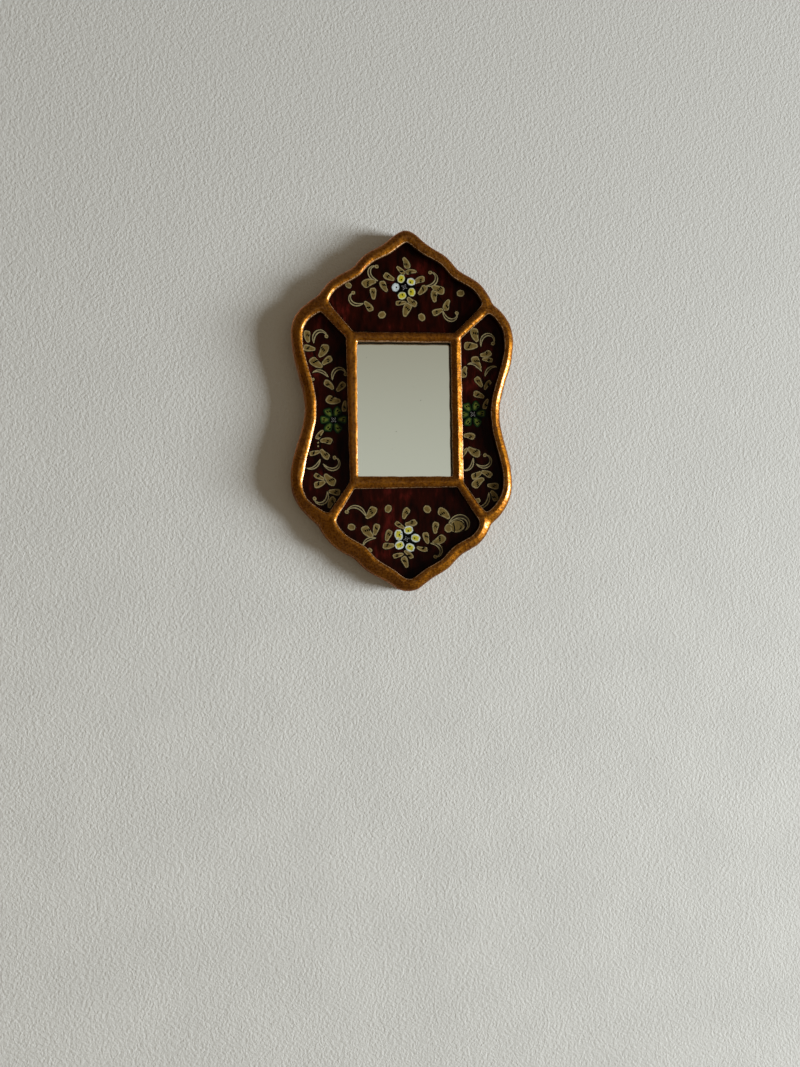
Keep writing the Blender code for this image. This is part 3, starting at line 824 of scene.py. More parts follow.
    def widths(self, name: str) -> dict[int, tuple[float, ...]]:
        """Widths of a bar to both sides, each at even steps along it.

        Args:
            name: the bar.

        Returns:
            The widths to its left under 1 and to its right under -1.
        """
        flat = (self.inner, self.inner)
        rims = {
            "rim_top": (self.outer_top, flat + (self.inner_apex,) + flat),
            "rim_right": (self.web_right[:1] + 4 * (self.outer_right,) + self.web_right[1:], flat),
            "rim_bottom": (self.outer_bottom, flat),
            "rim_left": (self.web_left[:1] + 4 * (self.outer_left,) + self.web_left[1:], self.inner_left),
        }
        if name in rims:
            left, right = rims[name]
            return {1: left, -1: right}
        if name in self.BARS:
            at_mirror = self.bar_widths[self.BARS.index(name)]
            ends = (at_mirror, at_mirror + self.bar_flare)
        else:
            ends = getattr(self, name)
        half = (ends[0] / 2, ends[1] / 2)
        return {1: half, -1: half}

    def width_at(self, name: str, way: int, share: Array) -> Array:
        """A bar's width to one side at shares of its length, straight between the given widths."""
        widths = self.widths(name)[way]
        return np.interp(share, np.linspace(0.0, 1.0, len(widths)), widths)

    def side(self, name: str, way: int) -> Array:
        """A bar's edge, carried straight on past both ends.

        Args:
            name: the bar.
            way: 1 for its left edge, -1 for its right one.

        Returns:
            The edge's points.
        """
        path = self.ridges()[name]
        ends = self.run_out * unit(np.array((path[0] - path[1], path[-1] - path[-2])))
        path = np.vstack((path[0] + ends[0], path, path[-1] + ends[1]))
        run = along(path) - self.run_out
        width = self.width_at(name, way, run / (run[-1] - self.run_out))
        return path + way * width[:, None] * left_normals(path)


@dataclass
class Ring:
    """A closed contour made of the edges of several bars, with its corners softened."""

    points: Array
    starts: list[int]
    borders: tuple[Border, ...]

    CRISP_WITHIN = 0.006
    SOFT_BEYOND = 0.016

    @classmethod
    def of(cls, plan: Plan, borders: tuple[Border, ...], side: int, spacing: float) -> "Ring":
        """Joins the bars' edges where each crosses the next, and sets points evenly on them.

        Args:
            plan: the frame's plan.
            borders: bars and ways to walk them, clockwise.
            side: the side of the walk that the edges lie on: 1 left, -1 right.
            spacing: the distance between points.

        Returns:
            The ring with sharp corners.
        """
        lines = [plan.side(name, side * way)[::way] for name, way in borders]
        hits = [crossing(line, after) for line, after in zip(lines, lines[1:] + lines[:1])]
        points, starts = [], []
        for index, line in enumerate(lines):
            begin, end = hits[index - 1], hits[index]
            path = np.vstack((begin[2], line[begin[1] + 1:end[0] + 1], end[2]))
            path = resampled(path, max(3, round(along(path)[-1] / spacing)) + 1)
            starts.append(sum(len(p) for p in points))
            points.append(path[:-1])
        return cls(np.vstack(points), starts, borders)

    def blurred(self, radius: float) -> Array:
        """The ring's points under a Gaussian, taken round the ring by its Fourier series.

        Args:
            radius: the Gaussian's standard deviation.

        Returns:
            The blurred points.
        """
        spacing = np.mean(np.linalg.norm(np.diff(self.points, axis=0), axis=1))
        waves = np.fft.fftfreq(len(self.points), spacing)
        weight = np.exp(-2 * (math.pi * waves * radius) ** 2)[:, None]
        return np.real(np.fft.ifft(np.fft.fft(self.points, axis=0) * weight, axis=0))

    def soften(self, soft: float, crisp: float, corners: Optional[Array] = None) -> None:
        """Rounds the corners: softly everywhere, but crisply near the given points.

        Args:
            soft: blur away from these points.
            crisp: blur near them.
            corners: the points, or none.
        """
        points = self.blurred(soft)
        if corners is not None:
            near = np.min(np.linalg.norm(self.points[:, None] - corners[None], axis=-1), axis=1)
            share = 1 - smooth(near, self.CRISP_WITHIN, self.SOFT_BEYOND)
            points = points + (self.blurred(crisp) - points) * share[:, None]
        self.points = points

    def edges(self) -> dict[Border, Array]:
        """Each bar's part of the ring, turned to run with the bar.

        Returns:
            The parts' points by bar and way.
        """
        closed = np.vstack((self.points, self.points[:1]))
        stops = self.starts[1:] + [len(self.points)]
        return {border: closed[start:stop + 1][::border[1]]
                for border, start, stop in zip(self.borders, self.starts, stops)}


@dataclass
class GiltFrame:
    """The twelve gilt bars."""

    plan: Plan = field(default_factory=Plan)
    ridge: float = 0.0165
    lip: float = 0.01142
    lip_reach: float = 0.0010
    outer_foot: float = 0.0030
    bar_foot: float = 0.0093
    tongue: float = 0.0013
    spacing: float = 0.0006
    soft_outer: float = 0.0022
    soft_notch: float = 0.0019
    crisp_corner: float = 0.0008
    share_reach: float = 0.004
    rim_left: Triple = (2.0, 1.15, 0.0015)
    rim_right: Triple = (1.2, 1.1, 0.0006)
    stile_left: Triple = (3.5, 1.1, 0.0014)
    stile_right: Triple = (1.2, 1.05, 0.0021)
    cross_bar: Triple = (2.0, 1.5, 0.0023)
    curve_outer: Pair = (1.05, 9.0)
    stile_end: float = 0.045
    stile_fade: float = 0.008
    bar_blend: float = 0.0015
    side_blend: float = 0.03
    share_step: int = 4
    wobble: float = 0.00016
    wobble_waves: tuple[Pair, ...] = ((0.019, 0.7), (0.023, 2.2))
    dent: float = 0.0001
    dent_foot: float = 0.0121
    dent_wave: Pair = (0.011, 1.1)
    fine_wave: Pair = (0.0042, 2.9)
    fine_share: float = 0.3
    columns: int = 15
    rings: dict[str, Ring] = field(default_factory=dict)

    OPENINGS = {
        "pane_top": (("rim_top", 1), ("bar_top_right", -1), ("rail_top", -1), ("bar_top_left", 1)),
        "pane_right": (("rim_right", 1), ("bar_bottom_right", -1), ("stile_right", -1), ("bar_top_right", 1)),
        "pane_bottom": (("rim_bottom", 1), ("bar_bottom_left", -1), ("rail_bottom", -1),
                        ("bar_bottom_right", 1)),
        "pane_left": (("rim_left", 1), ("bar_top_left", -1), ("stile_left", -1), ("bar_bottom_left", 1)),
        "mirror_plate": (("rail_top", 1), ("stile_right", 1), ("rail_bottom", 1), ("stile_left", 1)),
    }
    OUTLINE = (("rim_top", 1), ("rim_right", 1), ("rim_bottom", 1), ("rim_left", 1))

    def draw(self) -> None:
        """Works out the outer outline and the five openings, softened and a little uneven."""
        corners = self.plan.corners()
        outline = Ring.of(self.plan, self.OUTLINE, 1, self.spacing)
        outline.soften(self.soft_outer, self.soft_outer)
        self.rings["outline"] = outline
        for name, borders in self.OPENINGS.items():
            ring = Ring.of(self.plan, borders, -1, self.spacing)
            if name == "mirror_plate":
                ring.soften(self.crisp_corner, self.crisp_corner)
            else:
                ring.soften(self.soft_notch, self.crisp_corner, corners)
            self.rings[name] = ring
        for ring in self.rings.values():
            shift = np.stack([ripple(ring.points, *wave) for wave in self.wobble_waves], axis=1)
            ring.points = ring.points + self.wobble * shift

    def outer_share(self, plan: Array) -> Array:
        """How much nearer the ridge lies to the inside: inner over outer width of the rim close by.

        It is the mean of that ratio over the rims' ridge points, weighted by a Gaussian of their distance.

        Args:
            plan: plan points, one to a row.

        Returns:
            One ratio to each point.
        """
        ridges = self.plan.ridges()
        lines = {name: ridges[name][::self.share_step] for name in self.plan.RIMS}
        ratios = []
        for name, line in lines.items():
            share = along(line) / along(line)[-1]
            ratios.append(self.plan.width_at(name, -1, share) / self.plan.width_at(name, 1, share))
        centres = np.vstack(list(lines.values()))
        square = np.sum(plan ** 2, axis=1)[:, None] + np.sum(centres ** 2, axis=1) - 2 * plan @ centres.T
        weight = np.exp(-(square - square.min(axis=1, keepdims=True)) / (2 * self.share_reach ** 2))
        return weight @ np.concatenate(ratios) / weight.sum(axis=1)

    def depths(self, plan: Array) -> tuple[Array, Array]:
        """Depth of the gilt surface at plan points, and how far each lies from the glass.

        With a the distance to the nearest opening, b the lesser of the distance to the next opening and the
        scaled distance to the outline, and t = (b - a) / (b + a), the surface falls from the ridge towards
        the glass by the drop times 1 - (1 - t^p)^(1/q), and stands upright on the glass. Each curve is
        (p, q, drop): the left stile is nearly flat on top, the right one slopes evenly to both sides, the
        bars across are round, and the rim slopes to the glass more at the left. Nearer to the outline it
        falls to the wall in the same form.

        Args:
            plan: plan points, one to a row.

        Returns:
            One depth and one distance to each point.
        """
        gaps = [distance_to(self.rings[name].points, plan) for name in self.OPENINGS]
        near = np.sort(np.stack(gaps), axis=0)
        outside = distance_to(self.rings["outline"].points, plan) * self.outer_share(plan)
        tiny = 1e-9
        b = np.minimum(near[1], outside)
        t = np.clip((b - near[0]) / (b + near[0] + tiny), 0.0, 1.0)
        on_bar = smooth(outside - near[1], -self.bar_blend, self.bar_blend)
        to_right = smooth(plan[:, 0], -self.side_blend, self.side_blend)
        named = (self.rim_left, self.rim_right, self.stile_left, self.stile_right, self.cross_bar)
        curves = np.array(named)[..., None]
        rim = curves[0] + (curves[1] - curves[0]) * to_right
        stile = curves[2] + (curves[3] - curves[2]) * to_right
        across = smooth(np.abs(plan[:, 1]), self.stile_end, self.stile_end + self.stile_fade)
        bar = stile + (curves[4] - stile) * across
        p, q, drop = rim + (bar - rim) * on_bar
        inner = self.ridge - drop * (1 - (1 - t ** p) ** (1 / q))
        t = np.clip((near[0] - outside) / (near[0] + outside + tiny), 0.0, 1.0)
        p, q = self.curve_outer
        outer = self.outer_foot + (self.ridge - self.outer_foot) * (1 - t ** p) ** (1 / q)
        depth = np.where(outside < near[0], outer, inner)
        uneven = ripple(plan, *self.dent_wave) + self.fine_share * ripple(plan, *self.fine_wave)
        high = smooth(depth, self.dent_foot, self.ridge)
        return depth + self.dent * uneven * high - self.dent * high, near[0]

    def bar(self, name: str, ridge: Array, left: Array, right: Array) -> bpy.types.Object:
        """One bar: columns across from its left edge over the ridge to its right edge, then round its back.

        Columns crowd towards the edges: a quarter cosine from the left edge, a quarter sine to the right one.

        Args:
            name: the bar's CAD node.
            ridge: its ridge line.
            left: its left edge.
            right: its right edge.

        Returns:
            The piece.
        """
        count = max(8, round(along(ridge)[-1] / self.spacing)) + 1
        left, ridge, right = (resampled(line, count)[:, None] for line in (left, ridge, right))
        turn = np.linspace(0.0, math.pi / 2, self.columns + 1)[None, :, None]
        rise = left + (ridge - left) * (1 - np.cos(turn))
        fall = ridge + (right - ridge) * np.sin(turn[:, 1:])
        head = np.concatenate((rise, fall), axis=1)
        depth, gap = (found.reshape(head.shape[:2]) for found in self.depths(head.reshape(-1, 2)))
        surface = placed(head, depth)

        def inset(way: Array) -> Array:
            """A line one tongue's half width from the ridge along a way."""
            return ridge + unit(way) * self.tongue

        if name.startswith("rim"):
            wall = inset(ridge - left)
            back = [placed(right, self.lip), placed(wall, self.lip), placed(wall, 0.0), placed(left, 0.0)]
        else:
            east, west = inset(right - ridge), inset(left - ridge)
            back = [placed(right, self.lip), placed(east, self.lip), placed(east, self.bar_foot),
                    placed(west, self.bar_foot), placed(west, self.lip), placed(left, self.lip)]
        grid = np.concatenate([surface] + back, axis=1)
        middle = np.concatenate((ridge[0], ridge[-1]))
        piece = tube_piece("gilt_" + name, grid, "frame", placed(middle, self.bar_foot))
        # Pale edge mark near the glass, for flecks that are partly worn gesso and partly a painted highlight
        lip = np.zeros(grid.shape[:2])
        lip[:, :surface.shape[1]] = 1 - smooth(gap, 0.0, self.lip_reach)
        # Painted shade mark: 1 on the walls down to the glass and round the back, 0 on the gilt top
        grime = np.zeros(grid.shape[:2])
        grime[:, surface.shape[1]:] = 1.0
        for key, value in (("lip", lip), ("grime", grime)):
            marks = piece.data.attributes.new(key, "FLOAT", "POINT")
            marks.data.foreach_set("value", np.append(value.ravel(), (0.0, 0.0)).astype(np.float32))
        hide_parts(name)
        return piece

    def build(self) -> list[bpy.types.Object]:
        """Builds all twelve bars between the rings' parts.

        Returns:
            The pieces.
        """
        self.draw()
        edges: dict[Border, Array] = {}
        for name in self.OPENINGS:
            edges.update({(bar, -way): line for (bar, way), line in self.rings[name].edges().items()})
        edges.update({(bar, 1): line for (bar, _), line in self.rings["outline"].edges().items()})
        ridges = self.plan.ridges()
        return [self.bar(name, ridge, edges[name, 1], edges[name, -1]) for name, ridge in ridges.items()]

    def dress(self, pieces: list[bpy.types.Object]) -> None:
        """Gilds the bars."""
        coat(pieces, GoldLeaf().material())


@dataclass(frozen=True)
class Pigment:
    """A brush load: the stroke's middle, its border, the border's width and the black outline round it."""

    middle: Colour
    border: Colour
    border_width: float = 0.0006
    outline: float = 0.0006


BLACK: Colour = (0.0006, 0.0004, 0.0004)


class Paint(Enum):
    """The painter's colours."""

    GOLD = Pigment((0.140, 0.092, 0.028), (0.325, 0.248, 0.122), 0.0005)
    CURL = Pigment((0.020, 0.012, 0.006), (0.360, 0.290, 0.155), 0.0005)
    YELLOW = Pigment((0.450, 0.380, 0.020), (0.520, 0.510, 0.300), 0.0006)
    WHITE = Pigment((0.460, 0.400, 0.035), (0.560, 0.580, 0.550), 0.0008)
    SKY = Pigment((0.540, 0.590, 0.620), (0.480, 0.530, 0.560), 0.0010)
    GREEN = Pigment((0.110, 0.130, 0.022), (0.009, 0.028, 0.007), 0.0010)
    PALE = Pigment((0.190, 0.180, 0.180), (0.190, 0.180, 0.180), 0.0001, 0.0)
    DARK = Pigment(BLACK, BLACK, 0.0001, 0.0)


@dataclass
class Strokes:
    """Brush strokes on a pane, gathered as middle lines, half widths, heights and paints."""

    sections: int = 21
    columns: int = 15
    tip_power: int = 8
    border_blend: Pair = (0.7, 1.3)
    edge_blend: Pair = (-0.00015, 0.0001)
    sharp: float = 70.0
    lines: list[Array] = field(default_factory=list)
    halves: list[Array] = field(default_factory=list)
    bases: list[float] = field(default_factory=list)
    crowns: list[float] = field(default_factory=list)
    paints: list[Paint] = field(default_factory=list)

    def add(self, line: Array, half: Array, paint: Paint, base: float, crown: float,
            grown: bool = False) -> None:
        """Keeps one stroke, set on the common number of sections and widened on all sides by its outline.

        Sections crowd towards both tips as half a cosine wave, where the outline's width runs out.

        Args:
            line: the stroke's middle line.
            half: its half widths at even steps along the line.
            paint: its paint.
            base: depth of its underside.
            crown: how far its middle stands in front of the underside.
            grown: whether the outline is in the widths already.
        """
        outline = 0.0 if grown else paint.value.outline
        ends = outline * unit(np.array((line[0] - line[1], line[-1] - line[-2])))
        share = (1 - np.cos(np.linspace(0.0, math.pi, self.sections))) / 2
        longer = np.vstack((line[0] + ends[0], line, line[-1] + ends[1]))
        run = along(longer)
        stops = share * run[-1]
        self.lines.append(np.stack([np.interp(stops, run, longer[:, axis]) for axis in (0, 1)], axis=1))
        fading = np.sqrt(1 - np.abs(2 * share - 1) ** self.tip_power)
        self.halves.append(outline * fading + np.interp(share, np.linspace(0.0, 1.0, len(half)), half))
        self.paints.append(paint)
        self.bases.append(base)
        self.crowns.append(crown)

    def colours(self, line: Array, gap: Array) -> Array:
        """Colours by the distance to a stroke's edge or tip: black outline, then border, then middle.

        Args:
            line: middle lines, stroke by stroke.
            gap: distance of each top point to its stroke's sides.

        Returns:
            One colour to each top point.
        """
        steps = np.linalg.norm(np.diff(line, axis=1), axis=2)
        run = np.concatenate((np.zeros((len(line), 1)), np.cumsum(steps, axis=1)), axis=1)
        tips = np.minimum(run, run[:, -1:] - run)[..., None]
        loads = [paint.value for paint in self.paints]
        keys = ("middle", "border", "outline", "border_width")
        columns = [np.array([getattr(load, key) for load in loads])[:, None, None] for key in keys]
        middle, border, outline, width = columns
        within = np.minimum(gap, tips) - outline
        inside = smooth(within / width, *self.border_blend)[..., None]
        painted = np.where(outline > 0.0, smooth(within, *self.edge_blend), 1.0)[..., None]
        colour = border + (middle - border) * inside
        return BLACK + (colour - BLACK) * painted

    def build(self, name: str) -> bpy.types.Object:
        """All strokes as thin closed lenses: a crowned top, a flat underside, joined at edges and tips.

        A point lies at middle + b h n, with h the half width, n the left normal and b the sine of an angle
        from -90 to 90 degrees, and it stands crown (1 - b^2) in front of its base.

        Args:
            name: the piece's name.

        Returns:
            The piece.
        """
        line, half = np.array(self.lines), np.array(self.halves)
        count, n = half.shape
        way = unit(np.gradient(line, axis=1))
        normal = np.stack((-way[..., 1], way[..., 0]), axis=-1)
        b = np.sin(np.linspace(-math.pi / 2, math.pi / 2, self.columns))
        plan = line[:, :, None] + (half[..., None] * b)[..., None] * normal[:, :, None]
        base = np.array(self.bases)[:, None, None]
        top = placed(plan, base + np.array(self.crowns)[:, None, None] * (1 - b ** 2))
        under = placed(plan[:, :, -2:0:-1], np.broadcast_to(base, (count, n, len(b) - 2)))
        tubes = np.concatenate((top, under), axis=2)[:, 1:-1]
        around = tubes.shape[2]
        poles = placed(line[:, [0, -1]], base[..., 0])
        size = (n - 2) * around
        firsts = np.arange(count) * size
        quads = (firsts[:, None, None] + tube_faces(n - 2, around)[None]).reshape(-1, 4)
        tips = count * size + 2 * np.arange(count)
        begin = fan_faces(firsts[:, None] + np.arange(around)[None], tips)
        close = fan_faces(firsts[:, None] + np.arange(size - around, size)[None, ::-1], tips + 1)
        points = np.vstack((tubes.reshape(-1, 3), poles.reshape(-1, 3)))
        piece = make_piece(name, points, [quads, begin, close], "frame", self.sharp)
        shade = self.colours(line, half[..., None] * (1 - np.abs(b)))
        ring = np.concatenate((shade, shade[:, :, -2:0:-1]), axis=2)[:, 1:-1].reshape(-1, 3)
        tones = np.vstack((ring, shade[:, [0, -1], 0].reshape(-1, 3)))
        rgba = np.hstack((tones, np.ones((len(tones), 1)))).astype(np.float32)
        paint = piece.data.attributes.new("paint", "FLOAT_COLOR", "POINT")
        paint.data.foreach_set("color", rgba.ravel())
        return piece


class Leaf(Enum):
    """The painter's leaves, by length and width in millimetres."""

    SLIM = (7.5, 3.6)
    PLAIN = (8.0, 4.8)
    BROAD = (9.5, 6.0)


class Curl(Enum):
    """The painter's curls, by length in millimetres, whole turn in degrees and width in millimetres."""

    SPRIG = (12.5, 95.0, 2.4)
    ARCH = (18.0, 140.0, 2.8)
    HOOK = (17.0, 190.0, 2.8)
    TIGHT = (20.5, 230.0, 2.6)
    SHELL = (24.0, 205.0, 3.5)


def curled(x: float, z: float, heading: float, length: float, turn: float, steps: int = 40,
           quickening: float = 1.5) -> Array:
    """A curl's middle line, which leaves a point along a heading and turns ever faster.

    The angle turned goes with the share of the run, raised to the power of the quickening.

    Args:
        x: plan place of its start in millimetres.
        z: plan height of its start in millimetres.
        heading: way that it leaves, in degrees from the right, anticlockwise.
        length: its run in millimetres.
        turn: how far it turns in all, in degrees.
        steps: how many points to put on it.
        quickening: the power.

    Returns:
        Plan points.
    """
    share = np.linspace(0.0, 1.0, steps)
    way = np.radians(heading + turn * share ** quickening)
    step = length / (len(share) - 1)
    moves = step * np.stack((np.cos(way[:-1]), np.sin(way[:-1])), axis=1)
    return MILLIMETRE * (np.array((x, z)) + np.vstack(((0.0, 0.0), np.cumsum(moves, axis=0))))


@dataclass(frozen=True)
class Flower:
    """Petals set evenly round a dark heart, in plan millimetres and degrees."""

    heart: Pair
    first: float
    reach: float
    radius: float
    paints: tuple[Paint, ...]
    pointed: bool = False


@dataclass
class Ornament:
    """The painted flower, leaves and curls of one pane, in plan millimetres and degrees.

    Places were read one by one. A leaf is (x, z, heading, kind) from its stem. A curl is
    (x, z, heading, hand, kind), hand 1 turning anticlockwise and -1 clockwise. A dark line, a low stem or a
    raised mark, is (x, z, heading, length, turn, width). A dot is (x, z, radius), a dab the same with its
    paint. The glass's front, the paint's lay and a plain stroke's crown are in metres, and lifts and the
    crowns of lines and grounds in such crowns.
    """

    pane: str
    flower: Flower
    leaves: tuple
    curls: tuple
    dots: tuple
    stems: tuple = ()
    marks: tuple = ()
    dabs: tuple = ()
    glass_front: float = 0.0113
    lay: float = 0.00001
    crown: float = 0.00005
    steps: int = 30
    leaf_bow: float = 0.11
    leaf_fill: float = 0.56
    leaf_stem: float = 0.45
    leaf_tip: int = 6
    leaf_change: float = 1.9
    dash: float = 1.0
    dash_width: float = 0.55
    dash_brush: tuple[float, ...] = (0.2, 0.8, 1.0, 0.8, 0.2)
    dash_tilt: float = 0.5
    dash_change: float = 2.3
    dash_place: float = 0.62
    dash_slant: float = 0.06
    dash_spread: float = 0.2
    dash_lift: float = 0.9
    three_dashes: float = 5.8
    curl_fill: float = 0.42
    curl_tail: float = 0.2
    curl_lean: float = 0.85
    curl_swell: float = 1.2
    curl_end: float = 1.2
    line_fade: float = 0.4
    stem_lay: Pair = (0.0, 0.2)
    mark_lay: Pair = (1.2, 1.0)
    dab_steps: int = 120
    dab_turn: Pair = (1.3, 0.7)
    dab_long: float = 1.05
    dab_wide: float = 0.95
    dab_lift: float = 0.2
    heart_radius: float = 2.9
    heart_dots: int = 8
    heart_rings: Pair = (0.8, 1.7)
    heart_dot: float = 0.38
    ground_share: float = 0.5
    ground_crown: float = 0.1
    petal_stem: float = 1.2
    petal_size: Pair = (2.2, 2.0)
    petal_turn: float = 0.4
    petal_lift: float = 0.3
    eye_place: float = 0.9
    eye_radius: float = 0.6
    eye_lift: float = 1.2

    @property
    def base(self) -> float:
        """Depth of the paint's underside."""
        return self.glass_front + self.lay

    def leaf(self, strokes: Strokes, place: tuple, size: Pair, turn: float,
             paint: Paint = Paint.GOLD) -> None:
        """A leaf, pointed at its stem and blunt at its end, with dark dashes in its middle.

        At a share a of its length its half width goes with a^s sqrt(1 - a^t), with s the stem's power and t
        the tip's, along a gently bowed middle line.

        Args:
            strokes: where the strokes go.
            place: stem and heading.
            size: length and width.
            turn: an angle that varies bow and dashes from leaf to leaf.
            paint: its paint.
        """
        x, z, heading = place
        length, width = size
        a = np.linspace(0.0, 1.0, self.steps)
        way = towards(math.radians(heading))
        side = np.array((-way[1], way[0]))
        bow = self.leaf_bow * math.sin(turn) * length
        line = np.array((x, z)) + length * a[:, None] * way + bow * (4 * a * (1 - a))[:, None] * side
        half = self.leaf_fill * width * a ** self.leaf_stem * np.sqrt(1 - a ** self.leaf_tip)
        strokes.add(MILLIMETRE * line, MILLIMETRE * half, paint, self.base, self.crown)
        tilt = self.dash_tilt * math.cos(self.dash_change * turn)
        along_dash = self.dash * (way * math.cos(tilt) + side * math.sin(tilt))
        brush = MILLIMETRE * self.dash_width * np.array(self.dash_brush)
        for shift in (-1, 0, 1) if width > self.three_dashes else (-0.6, 0.6):
            out = (self.dash_place + self.dash_slant * shift) * length
            middle = np.array((x, z)) + out * way + self.dash_spread * shift * width * side
            ends = MILLIMETRE * np.array((middle - along_dash, middle + along_dash))
            strokes.add(ends, brush, Paint.DARK, self.base + self.dash_lift * self.crown, self.crown)

    def curl(self, strokes: Strokes, place: tuple, hand: int, kind: Curl) -> None:
        """A curl that swells from a fine tail and mostly ends in a dot.

        At a share a of its length its half width goes with c + (1 - c) sin(pi a^p)^q, with c the tail's
        share, p the lean and q the swell.

        Args:
            strokes: where the strokes go.
            place: start and heading.
            hand: 1 to turn anticlockwise, -1 to turn clockwise.
            kind: its length, turn and width.
        """
        length, turn, width = kind.value
        a = np.linspace(0.0, 1.0, self.steps)
        wave = np.clip(np.sin(math.pi * a ** self.curl_lean), 0, 1)
        swell = self.curl_tail + (1 - self.curl_tail) * wave ** self.curl_swell
        line = curled(*place, length, hand * turn)
        strokes.add(line, MILLIMETRE * self.curl_fill * width * swell, Paint.CURL, self.base, self.crown)
        if kind in (Curl.ARCH, Curl.HOOK, Curl.TIGHT):
            self.blot(strokes, *(line[-1] / MILLIMETRE), self.curl_end, Paint.GOLD)

    def line(self, strokes: Strokes, numbers: tuple, lift: float, crown: float) -> None:
        """A dark brush line, fading at both ends: at a share a its half width goes with sin(pi a)^fade.

        Args:
            strokes: where the stroke goes.
            numbers: its start, heading, length, turn and width.
            lift: how far its underside is raised, in crowns.
            crown: its own crown, in crowns.
        """
        *course, width = numbers
        a = np.linspace(0.0, 1.0, self.steps)
        half = MILLIMETRE * 0.5 * width * np.clip(np.sin(math.pi * a), 0, 1) ** self.line_fade
        strokes.add(curled(*course), half, Paint.DARK, self.base + lift * self.crown, crown * self.crown)

    def blot(self, strokes: Strokes, x: float, z: float, radius: float, paint: Paint, lift: float = 0.0,
             crown: float = 1.0) -> None:
        """A round dab: half width r sqrt(1 - t^2) along a short line, a little longer than wide.

        Args:
            strokes: where the stroke goes.
            x: plan place of its centre.
            z: plan height of its centre.
            radius: its radius.
            paint: its paint.
            lift: how far its underside is raised, in crowns.
            crown: its own crown, in crowns.
        """
        t = np.linspace(-1.0, 1.0, self.dab_steps)
        way = towards(self.dab_turn[0] * x + self.dab_turn[1] * z)
        full = MILLIMETRE * radius + paint.value.outline
        line = MILLIMETRE * np.array((x, z)) + self.dab_long * full * t[:, None] * way
        half = self.dab_wide * full * np.sqrt(1 - t ** 2)
        strokes.add(line, half, paint, self.base + lift * self.crown, crown * self.crown, True)

    def bloom(self, strokes: Strokes) -> None:
        """The flower: a dark heart with pale dots, and petals at even angles, each with a dark dot or dashes.

        Args:
            strokes: where the strokes go.
        """
        flower = self.flower
        reach = flower.reach + self.ground_share * flower.radius
        self.blot(strokes, *flower.heart, reach, Paint.DARK, 0.0, self.ground_crown)
        self.blot(strokes, *flower.heart, self.heart_radius, Paint.DARK)
        for index, paint in enumerate(flower.paints):
            degrees = flower.first + 360.0 * index / len(flower.paints)
            way = towards(math.radians(degrees))
            if flower.pointed:
                stem = flower.heart + (flower.reach - self.petal_stem * flower.radius) * way
                size = (self.petal_size[0] * flower.radius, self.petal_size[1] * flower.radius)
                self.leaf(strokes, (*stem, degrees), size, self.petal_turn + index, paint)
            else:
                petal = flower.heart + flower.reach * way
                eye = flower.heart + self.eye_place * flower.reach * way
                self.blot(strokes, *petal, flower.radius, paint, self.petal_lift)
                self.blot(strokes, *eye, self.eye_radius, Paint.DARK, self.eye_lift)
        for index in range(self.heart_dots):
            spoke = towards(math.radians(flower.first + 360.0 * index / self.heart_dots))
            dot = flower.heart + self.heart_rings[index % 2] * spoke
            self.blot(strokes, *dot, self.heart_dot, Paint.PALE, 1.0)

    def build(self) -> bpy.types.Object:
        """Lays leaves and curls first, then dots, dabs and the flower, then low stems and raised marks.

        Returns:
            The pane's ornament as one piece.
        """
        strokes = Strokes()
        for index, (x, z, heading, kind) in enumerate(self.leaves):
            self.leaf(strokes, (x, z, heading), kind.value, 1.0 + self.leaf_change * index)
        for x, z, heading, hand, kind in self.curls:
            self.curl(strokes, (x, z, heading), hand, kind)
        for x, z, radius in self.dots:
            self.blot(strokes, x, z, radius, Paint.GOLD)
        for x, z, radius, paint in self.dabs:
            self.blot(strokes, x, z, radius, paint, self.dab_lift)
        self.bloom(strokes)
        for numbers in self.stems:
            self.line(strokes, numbers, *self.stem_lay)
        for numbers in self.marks:
            self.line(strokes, numbers, *self.mark_lay)
        return strokes.build("ornament_" + self.pane)


